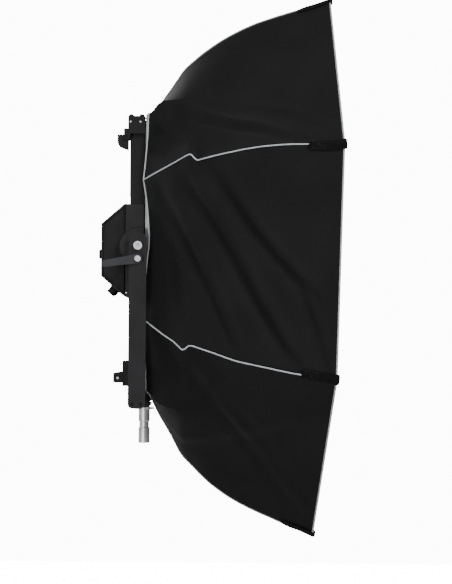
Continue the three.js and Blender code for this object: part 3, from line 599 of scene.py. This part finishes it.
def fold_height(gore, x, u):
    """How far the folds lift the cloth: nothing at the seams, the hem and the mouth."""
    width = (seam(gore, x) - seam(gore + 1, x)).length
    depth = mouth_depth - hem_depth
    along = (x - hem_depth) / depth
    here = Vector((along * depth, u * width))
    lift = 0.0
    for line, height, half in gore_folds[gore_names[gore]]:
        gap, t = off_line(here, [Vector((s * depth, v * width)) for s, v in line])
        swell = height * math.sin(math.pi * share_of(0.06 + 0.88 * t)) ** 0.5
        lift -= swell * fold_gain * (gap / half) * math.exp(-(gap / half) ** 2)
    from_seam = share_of(min(u, 1 - u) * width, 0, seam_fade)
    return lift * from_seam * share_of(along, 0, hem_fade) * share_of(1 - along, 0, mouth_fade)


def hem_edge(gore, u):
    """The depth of the cloth's rear edge: drawn back at the ribs, arched forward between them."""
    name = gore_names[gore % 8]
    arch = hem_arch
    if name in ("right", "left"):
        down = u if name == "right" else 1 - u
        arch = side_arch - side_arch_loss * gentle(share_of(down, 0.42, 0.62))
    return hem_depth + arch * math.sin(math.pi * u) ** 0.9


def cloth_point(gore, x, u, proud=0.0):
    """The finished cloth's outer face, or a point standing proud of it."""
    lift = fold_height(gore, x, u) + proud
    return in_row(taut(gore, x, u) + knuckle_push(gore, x, u)) + cloth_normal(gore, x, u) * lift


print("folds on each gore:", {name: len(folds) for name, folds in gore_folds.items()})

# %% [markdown]
# Each gore is one sheet. It starts as a flat grid, a grid's corner-to-corner shares are its place
# on the gore, and every vertex is moved there. The UVs are the same shares times the gore's real
# size, so the weave keeps its scale. Solidify gives the cloth its thickness, inwards.

# %% Sheets from grids
def grid_sheet(columns, rows, place, uv_size):
    """A grid whose vertices are moved to place(u, v), with UVs in metres."""
    bm = bmesh.new()
    bmesh.ops.create_grid(bm, x_segments=columns, y_segments=rows, size=0.5)
    uv_layer = bm.loops.layers.uv.new("UVMap")
    for face in bm.faces:
        for loop in face.loops:
            u, v = loop.vert.co.x + 0.5, loop.vert.co.y + 0.5
            loop[uv_layer].uv = (u * uv_size[0], v * uv_size[1])
    for vert in bm.verts:
        vert.co = place(vert.co.x + 0.5, vert.co.y + 0.5)
    return bm


def face_outwards(bm, centre):
    """Turns an open sheet so that its faces look away from a point."""
    bm.normal_update()
    total = sum((f.calc_center_median() - centre).dot(f.normal) * f.calc_area() for f in bm.faces)
    if total < 0:
        bmesh.ops.reverse_faces(bm, faces=bm.faces)
    return bm


softbox_middle = in_row(Vector((0.2, 0, 0)))
gore_columns, gore_rows = 56, 76
gore_length, cloth_thickness = 0.56, 0.0012


def make_gore(gore):
    width, length = (rib_tips[gore] - rib_tips[(gore + 1) % 8]).length, gore_length

    def place(u, v):
        rear = hem_edge(gore, u)
        return cloth_point(gore, rear + (mouth_depth - rear) * v, u)

    bm = face_outwards(grid_sheet(gore_columns, gore_rows, place, (width, length)), softbox_middle)
    area = sum(f.calc_area() for f in bm.faces)
    name = f"gore_{gore_names[gore]}"
    made = piece_from(bm, name, black_polyester, smooth=60,
                      replaces=f"cloth_{gore_names[gore]}")
    made.data.materials.append(silver_lining)
    thicken(made, "cloth_thickness", cloth_thickness, -1).material_offset = 1
    print(name, "flat about", round(width, 3), "by", length, "m, area", round(area, 3), "m2")


for gore in range(8):
    make_gore(gore)

# %% [markdown]
# Sewn edges. A light piping covers each seam, a thin cord finishes the rear hem and a folded tape
# binds the mouth. Each is an oval tube swept along the cloth: a grid closed into a tube, with the
# join merged and the ends filled. The path comes from the cloth, so it follows every bulge.

# %% Tubes along a path
def tube(path, half_width, half_height, sides=10, ring=False):
    """An oval tube along (point, outward direction) pairs. half_height is measured outwards."""
    points = [point for point, out in path]
    last = len(path) - 1

    def place(u, v):
        i = min(last, round(v * last))
        here, out = path[i]
        after = points[1] if ring and i == last else points[min(i + 1, last)]
        before = points[last - 1] if ring and i == 0 else points[max(i - 1, 0)]
        along = (after - before).normalized()
        side = along.cross(out).normalized()
        angle = 2 * math.pi * u
        up = side.cross(along)
        return here + side * half_width * math.cos(angle) + up * half_height * math.sin(angle)

    length = sum((b - a).length for a, b in zip(points, points[1:]))
    bm = grid_sheet(sides, last, place, (4 * half_width, length))
    bmesh.ops.remove_doubles(bm, verts=bm.verts, dist=1e-6)
    ends = [edge for edge in bm.edges if edge.is_boundary]
    if ends:
        bmesh.ops.holes_fill(bm, edges=ends, sides=0)
    bmesh.ops.recalc_face_normals(bm, faces=bm.faces)
    return bm


def gather(parts):
    """Several meshes as one."""
    whole = bmesh.new()
    for part in parts:
        carrier = bpy.data.meshes.new("carrier")
        part.to_mesh(carrier)
        part.free()
        whole.from_mesh(carrier)
        bpy.data.meshes.remove(carrier)
    return whole


def seam_out(rib, x):
    """The outward direction on a seam, midway between its two gores."""
    return (cloth_normal(rib % 8, x, 0.0) + cloth_normal((rib - 1) % 8, x, 1.0)).normalized()


piping_steps, hem_steps, mouth_steps = 90, 40, 20
piping_end, binding_depth = mouth_depth - 0.002, mouth_depth - 0.0008
for rib, name in enumerate(rib_names):
    path = []
    for k in range(piping_steps + 1):
        x = hem_depth + (piping_end - hem_depth) * k / piping_steps
        path.append((cloth_point(rib, x, 0.0, 0.0008), seam_out(rib, x)))
    piece_from(tube(path, 0.0018, 0.0015), f"seam_piping_{name}", grey_piping)
for gore, name in enumerate(gore_names):
    path = []
    for k in range(hem_steps + 1):
        u = k / hem_steps
        rear = hem_edge(gore, u)
        path.append((cloth_point(gore, rear, u, 0.0003), cloth_normal(gore, rear, u)))
    piece_from(tube(path, 0.0017, 0.0017, sides=8), f"hem_cord_{name}", grey_piping)
shares = [k / mouth_steps for k in range(mouth_steps)]
rim = [(cloth_point(gore, binding_depth, u), cloth_normal(gore, binding_depth, u))
       for gore in range(8) for u in shares]
rim.append(rim[0])
piece_from(tube(rim, 0.0024, 0.0019, ring=True), "mouth_binding", grey_binding)
print("sewn edges: 8 seams of piping, 8 hem cords and a binding of", len(rim) - 1, "steps")

# %% [markdown]
# A webbing strap with hook and loop holds each rod's tip. It is sewn to the outside of the cloth,
# tapers towards its start, folds over the rim and closes inside. It is a narrow grid laid over the
# two gores that meet at the seam, with Solidify for the webbing's thickness.

# %% Rib tip straps
thread_grey = coated("spun_grey_thread", "#131314", "#19191b", 0.7, 0.8, 0.05)
strap_width, webbing_thickness = 0.026, 0.0022
stitch_near, stitch_far, stitch_side, stitch_pitch, stitch_proud = 0.040, 0.066, 0.0095, 0.0034, 0.0039
# The strap's line: distance back from the rim, height over the cloth and share of the width.
strap_line = [(0.078, 0.0006, 0.70), (0.070, 0.0022, 0.88), (0.055, 0.0026, 1.0), (0.030, 0.0026, 1.0),
              (0.008, 0.0028, 1.0), (-0.001, 0.0026, 1.0), (-0.0042, 0.0002, 1.0), (-0.0042, -0.0040, 1.0),
              (0.000, -0.0068, 1.0), (0.012, -0.0072, 1.0), (0.034, -0.0072, 0.94)]


def along_strap(v):
    """The strap's line at v from 0 to 1."""
    at = v * (len(strap_line) - 1)
    i = min(int(at), len(strap_line) - 2)
    return [a + (b - a) * (at - i) for a, b in zip(strap_line[i], strap_line[i + 1])]


def beside_seam(rib, x, offset, proud):
    """A point of the cloth at a distance from a seam, positive towards the next rib."""
    other = rib + 1 if offset >= 0 else rib - 1
    share = abs(offset) / (seam(rib, x) - seam(other, x)).length
    if offset >= 0:
        return cloth_point(rib % 8, x, share, proud)
    return cloth_point((rib - 1) % 8, x, 1 - share, proud)


def stitch(a, b, out):
    """One stitch of thread: a short oval tube that dips at both ends."""
    path = [(a.lerp(b, k / 3) + out * (0.0005 if k in (1, 2) else -0.0002), out) for k in range(4)]
    return tube(path, 0.0007, 0.00049, sides=5)


def make_strap(rib):
    def place(u, v):
        back, proud, share = along_strap(v)
        return beside_seam(rib, mouth_depth - back, (u - 0.5) * strap_width * share, proud)

    name = rib_names[rib]
    bm = grid_sheet(8, 40, place, (strap_width, 0.16))
    face_outwards(bm, in_row(Vector((mouth_depth - 0.05, 0, 0))))
    webbing = piece_from(bm, f"tip_strap_{name}", nylon_webbing, smooth=50)
    thicken(webbing, "webbing_thickness", webbing_thickness, 0)
    edge = webbing.modifiers.new("soft_edge", "BEVEL")
    edge.width, edge.segments, edge.limit_method = 0.0005, 1, "ANGLE"
    corners = [(stitch_far, -stitch_side), (stitch_far, stitch_side),
               (stitch_near, stitch_side), (stitch_near, -stitch_side)]
    lines = list(zip(corners, corners[1:] + corners[:1]))
    lines += [(corners[0], corners[2]), (corners[1], corners[3])]
    stitches = []
    for start, end in lines:
        count = max(3, round(math.hypot(start[0] - end[0], start[1] - end[1]) / stitch_pitch))
        for k in range(count):
            ends = [[p + (q - p) * (k + f) / count for p, q in zip(start, end)] for f in (0.12, 0.82)]
            a, b = (beside_seam(rib, mouth_depth - back, offset, stitch_proud) for back, offset in ends)
            stitches.append(stitch(a, b, seam_out(rib, mouth_depth - ends[0][0])))
    piece_from(gather(stitches), f"strap_stitching_{name}", thread_grey)


for rib in range(8):
    make_strap(rib)
print(len(rib_names), "straps of", strap_width, "m webbing")

# %% [markdown]
# Two sheets of white nylon spread the light. Each is cut as an octagon and pulled tight inside the
# cloth, with shallow ripples between its corners and a little slack low down. A square grid is
# mapped to the octagon from its middle, so the weave runs straight. A black tape with hook and loop
# is sewn round the edge.

# %% Diffusers
def octagon_edge(corners, angle):
    """How far an octagon's edge lies from its middle in a direction."""
    ray = Vector((math.cos(angle), math.sin(angle)))
    for a, b in zip(corners, corners[1:] + corners[:1]):
        side = b - a
        cross = ray.x * side.y - ray.y * side.x
        if abs(cross) > 1e-9:
            reach = (a.x * side.y - a.y * side.x) / cross
            share = (a.x * ray.y - a.y * ray.x) / cross
            if reach > 0 and -1e-6 <= share <= 1 + 1e-6:
                return reach
    return 0.0


tape_half_width, tape_half_height = 0.0075, 0.0011


def make_diffuser(name, depth, inset, ripple, slack):
    ring = [seam(rib, hem_depth + (depth - hem_depth) / rib_stretch[rib]) for rib in range(8)]
    ring = [point - outwards(point) * inset for point in ring]
    middle = Vector((0, sum(p.z for p in ring) / 8))
    corners = [Vector((p.y, p.z)) - middle for p in ring]
    lean = gained(depth) * mouth_lean

    def on_sheet(flat, forward=0.0):
        return in_row(Vector((depth + lean * (flat.y + mouth_droop) + forward, flat.x, flat.y)))

    def place(u, v):
        a, b = 2 * u - 1, 2 * v - 1
        share, angle = max(abs(a), abs(b)), math.atan2(b, a)
        flat = middle + Vector((math.cos(angle), math.sin(angle))) * octagon_edge(corners, angle) * share
        rippled = ripple * math.cos(16 * angle + 3 * share) * share ** 4 * (1 - share) ** 0.5
        low = slack * max(0.0, 1 - share * share) * (1 - 0.5 * b)
        return on_sheet(flat, rippled + low)

    size = 2 * max(c.length for c in corners) * math.cos(math.pi / 8)
    bm = grid_sheet(80, 80, place, (size, size))
    face_outwards(bm, in_row(Vector((0, 0, 0))))
    area = sum(face.calc_area() for face in bm.faces)
    made = piece_from(bm, f"{name}_nylon", white_nylon, replaces=name)
    thicken(made, "nylon_thickness", 0.0006, 0)
    path = []
    for a, b in zip(ring, ring[1:] + ring[:1]):
        path += [(on_sheet(a.lerp(b, k / 12).yz), Vector((1, 0, 0))) for k in range(12)]
    path.append(path[0])
    piece_from(tube(path, tape_half_width, tape_half_height, sides=8, ring=True), f"{name}_edge_tape",
               nylon_webbing)
    print(name, "cut", round(size, 3), "m across flats, area", round(area, 3), "m2")


make_diffuser("inner_diffuser", 0.2097, 0.045, 0.0016, 0.004)
make_diffuser("front_diffuser", 0.4088, 0.018, 0.0022, 0.006)

# %% [markdown]
# Hard parts. The design's solids have knife edges; real castings, mouldings and painted bars are
# rounded where they were cast, moulded or deburred. Each solid is copied, its loose triangles are
# merged into whole faces, and every sharp edge gets a narrow bevel that catches the light.

# %% Rounded copies of the design's solids
def copy_of(node):
    """A design node's mesh, with the corners of its loose triangles merged."""
    bm = bmesh.new()
    bm.from_mesh(frame["nodes"][node].data)
    bmesh.ops.remove_doubles(bm, verts=bm.verts, dist=2e-6)
    return bm


def soften(node, width_mm, material):
    bm = copy_of(node)
    bmesh.ops.dissolve_limit(bm, angle_limit=math.radians(1), verts=bm.verts, edges=bm.edges)
    sharp = [edge for edge in bm.edges if edge.is_manifold and edge.calc_face_angle(0) > math.radians(28)]
    bevel(bm, sharp, width_mm)
    open_edges = sum(1 for edge in bm.edges if not edge.is_manifold)
    print(node, "rounded by", width_mm, "mm:", len(bm.faces), "faces,", open_edges, "open edges")
    even_normals(piece_from(bm, f"{node}_finished", material, body=body_of[node],
                            smooth=35, replaces=node))


for width_mm, material, nodes in (
    (1.6, satin_powder_coat, ("yoke_arm_right", "yoke_arm_left")),
    (1.4, satin_powder_coat, ("yoke_crossbar",)),
    (1.0, satin_powder_coat, ("pin_carriage",)),
    (1.6, lever_nylon, ("lock_lever",)),
    (0.8, moulded_abs, ("rear_cover",)),
    (1.2, cast_bracket_paint, ("side_cap_right", "side_cap_left")),
    # The housing and the tray take the darker copy of the powder coat: painted shade.
    (0.9, powder_coat_painted_shade, ("driver_housing",)),
    (0.8, powder_coat_painted_shade, ("panel_tray",)),
    (1.2, moulded_abs, ("corner_block_top_right", "corner_block_top_left",
                        "corner_block_bottom_right", "corner_block_bottom_left")),
    (1.0, moulded_abs, ("frame_latch_right", "frame_latch_left")),
    (0.6, moulded_abs, ("power_switch",)),
    (0.7, moulded_abs, ("control_knob_1", "control_knob_2")),
):
    for node in nodes:
        soften(node, width_mm, material)

# %% [markdown]
# The rods and arms under the seams are sprung: the cloth's pull bends them up a few
# millimetres with the seam. Each is copied and its vertices rise by what the seam rises there.

# %% Sprung ribs
sprung = 0
for node in sorted(frame["nodes"]):
    rib = next((i for i, name in enumerate(rib_names) if node.endswith(name)), None)
    if rib is None or not node.startswith("rib_"):
        continue
    bm = copy_of(node)
    for vert in bm.verts:
        vert.co.z += drawn_up(rib, vert.co.x - tilt_axis.x)
    piece_from(bm, f"{node}_sprung", slot_finish[slot_of[node]], body=body_of[node],
               replaces=node)
    sprung += 1
print(sprung, "parts of the ribs follow their seams")

# %% [markdown]
# The design's solids whose shape is already right keep it and only take their finish.

# %% Finishes for the solids that stay
for node, made in frame["nodes"].items():
    if not made.hide_render:
        made.data.materials.clear()
        made.data.materials.append(slot_finish[slot_of[node]])
print(sum(1 for made in frame["nodes"].values() if not made.hide_render), "solids keep their shape")

# %% [markdown]
# Small parts share three shapes. A block is a cube scaled between two corners with rounded edges, a
# button-head screw is a short cone with a round socket pushed in, and a turned part is a profile
# spun about its axis.

# %% Blocks, screws and turned parts
screw_crown, screw_rounding, socket_wall, socket_depth = 0.72, 0.14, 0.24, 0.5


def block(low, high, width_mm=0.5, segments=2):
    low, high = Vector(low), Vector(high)
    bm = bmesh.new()
    bmesh.ops.create_cube(bm, size=1)
    bmesh.ops.scale(bm, vec=high - low, verts=bm.verts)
    bmesh.ops.translate(bm, vec=(low + high) / 2, verts=bm.verts)
    bevel(bm, bm.edges[:], width_mm, segments)
    return bm


def moved(bm, offset):
    bmesh.ops.translate(bm, vec=offset, verts=bm.verts)
    return bm


def rotated(bm, degrees, axis):
    matrix = Matrix.Rotation(math.radians(degrees), 3, axis)
    bmesh.ops.rotate(bm, verts=bm.verts, cent=(0, 0, 0), matrix=matrix)
    return bm


def flipped(bm, signs):
    """Mirrors a part through the origin, with its faces still looking out."""
    bmesh.ops.scale(bm, vec=signs, verts=bm.verts)
    bmesh.ops.recalc_face_normals(bm, faces=bm.faces)
    return bm


def placed(bm, place, facing):
    """Turns a part made along +Z to face a direction, and moves it to its place."""
    matrix = Matrix.Translation(place) @ Vector(facing).to_track_quat("Z", "Y").to_matrix().to_4x4()
    bmesh.ops.transform(bm, matrix=matrix, verts=bm.verts)
    return bm


def parts_of(made, kind):
    return [part for part in made if isinstance(part, kind)]


def screw(place, facing, radius, height):
    bm = bmesh.new()
    bmesh.ops.create_cone(bm, cap_ends=True, segments=24, radius1=radius, radius2=radius * screw_crown,
                          depth=height)
    moved(bm, (0, 0, height / 2))
    rim = next(face for face in bm.faces if face.normal.z > 0.9).edges[:]
    bevel(bm, rim, radius * screw_rounding * 1000)
    top = [max((face for face in bm.faces if face.normal.z > 0.99), key=lambda face: face.calc_area())]
    bmesh.ops.inset_region(bm, faces=top, thickness=radius * socket_wall, depth=0)
    pushed = bmesh.ops.extrude_face_region(bm, geom=top)["geom"]
    bmesh.ops.translate(bm, vec=(0, 0, -height * socket_depth),
                        verts=parts_of(pushed, bmesh.types.BMVert))
    bmesh.ops.delete(bm, geom=top, context="FACES")
    return placed(bm, place, facing)


def screw_piece(screws, name, material=zinc_plate, body="head"):
    """Several screws as one piece."""
    piece_from(gather(screws), name, material, body=body, smooth=30)


def turned(profile_mm, place, facing, steps):
    """(radius, height) pairs spun about the facing direction."""
    bm = bmesh.new()
    verts = [bm.verts.new((radius / 1000, 0, height / 1000)) for radius, height in profile_mm]
    edges = [bm.edges.new(pair) for pair in zip(verts, verts[1:])]
    bmesh.ops.spin(bm, geom=verts + edges, cent=(0, 0, 0), axis=(0, 0, 1), angle=2 * math.pi, steps=steps,
                   use_merge=True, use_duplicate=False)
    bmesh.ops.remove_doubles(bm, verts=bm.verts, dist=1e-6)
    bmesh.ops.recalc_face_normals(bm, faces=bm.faces)
    return placed(bm, place, facing)


def by_pivot(x, y, z):
    """A point given from the tilt axis, in millimetres."""
    return tilt_axis + Vector((x, y, z)) / 1000


cap_outer, arm_outer = 398.0, 442.0
housing_level = -9.0

# %% [markdown]
# The panel's end on each side: a pressed plate, painted darker as shade, with a raised rim behind the
# cast bracket, four bright screws, and a graduated ring round the tilt boss. The plate is one face,
# extruded, with its middle pushed in by an inset.

# %% End plates, graduated rings and side screws
plate_outline = [(-33, 107), (-35, 107), (-86.5, 61.5), (-86.5, -61.5), (-35, -107), (-33, -107)]
plate_deep, plate_rim, plate_step, plate_sunk = 0.0026, 0.0045, 0.0012, 0.0016
ring_profile, ring_cut_x = [(43.3, 0), (44.6, 0.6), (44.6, 3.4), (43.3, 4.2)], 12.4
mark_count, first_mark, mark_pitch, long_mark, short_mark = 15, 110, 10, 5.5, 3.2
small_head, large_head = (0.0026, 0.0016), (0.0034, 0.0018)  # radius and height
side_screws = [
    ((-27.5, cap_outer + 0.1, housing_level - 101), small_head), ((-21.0, 402.1, 294), small_head),
    ((-46.0, 398.1, -311), large_head), ((2.0, 402.1, 294), small_head),
]
for side_name, side in (("right", -1), ("left", 1)):
    bm = bmesh.new()
    corners = [by_pivot(x, side * (cap_outer + 0.2), housing_level + z) for x, z in plate_outline]
    face = bm.faces.new([bm.verts.new(corner) for corner in corners])
    raised = bmesh.ops.extrude_face_region(bm, geom=[face])["geom"]
    bmesh.ops.translate(bm, vec=(0, side * plate_deep, 0), verts=parts_of(raised, bmesh.types.BMVert))
    outer = parts_of(raised, bmesh.types.BMFace)
    bmesh.ops.recalc_face_normals(bm, faces=bm.faces)
    bmesh.ops.inset_region(bm, faces=outer, thickness=plate_rim, depth=0)
    bmesh.ops.inset_region(bm, faces=outer, thickness=plate_step, depth=-plate_sunk)
    bevel(bm, [edge for edge in bm.edges if edge.calc_face_angle(0) > 0.5], 0.5)
    even_normals(piece_from(bm, f"end_plate_{side_name}", powder_coat_painted_shade))
    ring = turned(ring_profile, by_pivot(0, side * (cap_outer + 12), 0), (0, side, 0), 72)
    bmesh.ops.bisect_plane(ring, geom=ring.verts[:] + ring.edges[:] + ring.faces[:], dist=1e-6,
                           plane_co=by_pivot(ring_cut_x, 0, 0), plane_no=(1, 0, 0), clear_outer=True)
    made = piece_from(ring, f"graduated_ring_{side_name}", cast_bracket_paint)
    thicken(made, "ring_wall", 0.0008, -1)
    marks = []
    for step in range(mark_count):
        half_tall = (long_mark if step % 2 == 0 else short_mark) / 2000
        bar = block((0.0432, -0.0003, 0.0085 - half_tall), (0.0438, 0.0003, 0.0085 + half_tall), 0.1, 1)
        bar = rotated(rotated(bar, first_mark + mark_pitch * step, "Z"), 90, "X")
        if side > 0:
            bar = flipped(bar, (1, -1, 1))
        marks.append(moved(bar, by_pivot(0, side * (cap_outer + 0.5), 0)))
    piece_from(gather(marks), f"ring_marks_{side_name}", grey_binding)
    screw_piece([screw(by_pivot(x, side * y, z), (0, side, 0), *head) for (x, y, z), head in side_screws],
                f"side_screws_{side_name}")
print("end plates, rings and side screws on both sides")

# %% [markdown]
# The driver housing is cooled through a row of pressed louvres on each of its two slopes. They are
# rounded bars, each turned a little about its length, and the lower row leaves room for the
# sockets. Repeated shapes stay very simple.

# %% Louvres on the housing's slopes
rear_x, rear_z, shoulder_x, shoulder_z = -88.0, 62.0, -34.0, 109.0
slope_length = math.hypot(shoulder_x - rear_x, shoulder_z - rear_z)
louvre_pitch, louvre_turn, last_louvre = 12, 12, 348
for slope_name, up, first_louvre in (("upper", 1, -348), ("lower", -1, -228)):
    lean = math.degrees(math.atan2(shoulder_z - rear_z, shoulder_x - rear_x)) * up
    louvres = []
    for y in range(first_louvre, last_louvre + 1, louvre_pitch):
        bar = rotated(block((-0.021, -0.0019, -0.0006), (0.021, 0.0019, 0.0007)), louvre_turn, "X")
        if up < 0:
            bar = flipped(bar, (1, 1, -1))
        centre = by_pivot((rear_x + shoulder_x) / 2, y, housing_level + up * (rear_z + shoulder_z) / 2)
        louvres.append(moved(rotated(bar, -lean, "Y"), centre))
    count = len(louvres)
    # The louvres take the darker copy of the powder coat: painted shade.
    piece_from(gather(louvres), f"louvres_{slope_name}", powder_coat_painted_shade)
    print(slope_name, "slope:", count, "louvres on a slope", round(slope_length), "mm long")

# %% [markdown]
# The control cover carries a smoked display window in a raised surround, a scale of dots round
# each knob, and eight screws. The knobs get fine flutes, which turn with them.

# %% Control cover details
cover_x, scale_radius, flute_count = -91.0, 19, 24
knobs = (("knob_1", -120), ("knob_2", 120))
for name, half_y, half_z, front, rear, width_mm, material, smooth in (
    ("display_surround", 62, 26, 1.0, 0.4, 0.8, moulded_abs, 40),
    ("display_window", 56, 21, 1.6, -0.6, 0.4, display_glass, 30),
):
    window = block(by_pivot(cover_x - front, -half_y, housing_level - half_z),
                   by_pivot(cover_x + rear, half_y, housing_level + half_z), width_mm)
    piece_from(window, name, material, smooth=smooth)
dots = []
for knob, knob_y in knobs:
    for step in range(11):
        angle = math.radians(-60 + 30 * step)
        dot = bmesh.new()
        bmesh.ops.create_icosphere(dot, subdivisions=1, radius=0.0011)
        bmesh.ops.scale(dot, vec=(0.4, 1, 1), verts=dot.verts)
        dots.append(moved(dot, by_pivot(cover_x, knob_y + scale_radius * math.cos(angle),
                                        housing_level + scale_radius * math.sin(angle))))
piece_from(gather(dots), "knob_scales", board_mask)
for knob, knob_y in knobs:
    flutes = []
    for step in range(flute_count):
        bar = block((-0.0060, 0.0104, -0.0006), (0.0052, 0.0117, 0.0006), 0.3, 1)
        bar = rotated(bar, 360 * step / flute_count, "X")
        flutes.append(moved(bar, by_pivot(cover_x - 9.5, knob_y, housing_level)))
    piece_from(gather(flutes), f"{knob}_flutes", black_rubber, body=knob)
screw_piece([screw(by_pivot(cover_x + 0.1, y, housing_level + z), (-1, 0, 0), 0.0032, 0.0018)
             for y in (-242, -165, 165, 242) for z in (-48, 48)], "cover_screws")
print("control cover finished,", len(dots), "scale marks")

# %% [markdown]
# The panel's back is pressed sheet: a rail runs round it, stiffening beads stand on it, and vents
# let the boards breathe. The beads are long blocks with a full round top.

# %% Rails, beads and vents on the panel's back
back_x, panel_level, rail_deep, rail_half = -21.0, -14.0, 3.0, 6
rail_z, bead_z, vent_pitch = 300, 205, 9


def on_back(y, z, half_y, half_z, proud, width_mm, segments=2, sunk=0.2):
    """A block on the panel's back, by its middle, half sizes and height, in millimetres."""
    return block(by_pivot(back_x - proud, y - half_y, panel_level + z - half_z),
                 by_pivot(back_x + sunk, y + half_y, panel_level + z + half_z), width_mm, segments)


rails = []
for up in (1, -1):
    rails.append(on_back(0, up * rail_z, 345, rail_half, rail_deep, 1.4))
    rails += [on_back(y, up * 214.5, rail_half, 80.5, rail_deep, 1.4) for y in (-335, 335)]
# The rails and beads take the darker copy of the powder coat: painted shade.
piece_from(gather(rails), "panel_back_rails", powder_coat_painted_shade)
beads = [on_back(y, up * bead_z, 4, 75, 1.8, 1.6, 3) for up in (1, -1) for y in (-200, -67, 67, 200)]
piece_from(gather(beads), "panel_back_beads", powder_coat_painted_shade)
vents = [on_back(y, up * bead_z + vent_pitch * k, 42, 1.6, 0.7, 0.5, 1, 0.3)
         for up in (1, -1) for y in (-134, 0, 134) for k in range(-6, 7)]
piece_from(gather(vents), "panel_back_vents", black_rubber)
back_places = [by_pivot(back_x - rail_deep + 0.1, y, panel_level + up * rail_z)
               for up in (1, -1) for y in range(-320, 321, 80)]
back_screws = [screw(place, (-1, 0, 0), 0.0030, 0.0017) for place in back_places]
screw_piece(back_screws, "panel_back_screws")
print(len(beads), "beads,", len(vents), "vents and", len(back_screws), "screws on the panel's back")

# %% [markdown]
# The yoke's fixings: a flange where the pin meets its plate, and the screws that hold the crossbar
# to the plate and the arms.

# %% Yoke fixings
flange_profile = [(14.5, 0), (24, 0), (25, 1), (25, 4), (24, 5), (14.5, 5)]
yoke_head = (0.0042, 0.0026)
piece_from(turned(flange_profile, by_pivot(4, 0, -389.1), (0, 0, -1), 64), "pin_flange", zinc_plate,
           body="yoke", smooth=30)
for side_name, side in (("right", -1), ("left", 1)):
    screw_piece([screw(by_pivot(x, side * (arm_outer - 0.1), -371.5), (0, side, 0), *yoke_head)
                 for x in (-10, 10)], f"arm_screws_{side_name}", black_rubber, "yoke")
screw_piece([screw(by_pivot(x, y, -388.9), (0, 0, -1), *yoke_head) for x in (-14, 14) for y in (-36, 36)],
            "plate_screws", body="yoke")
print("yoke fixings placed")
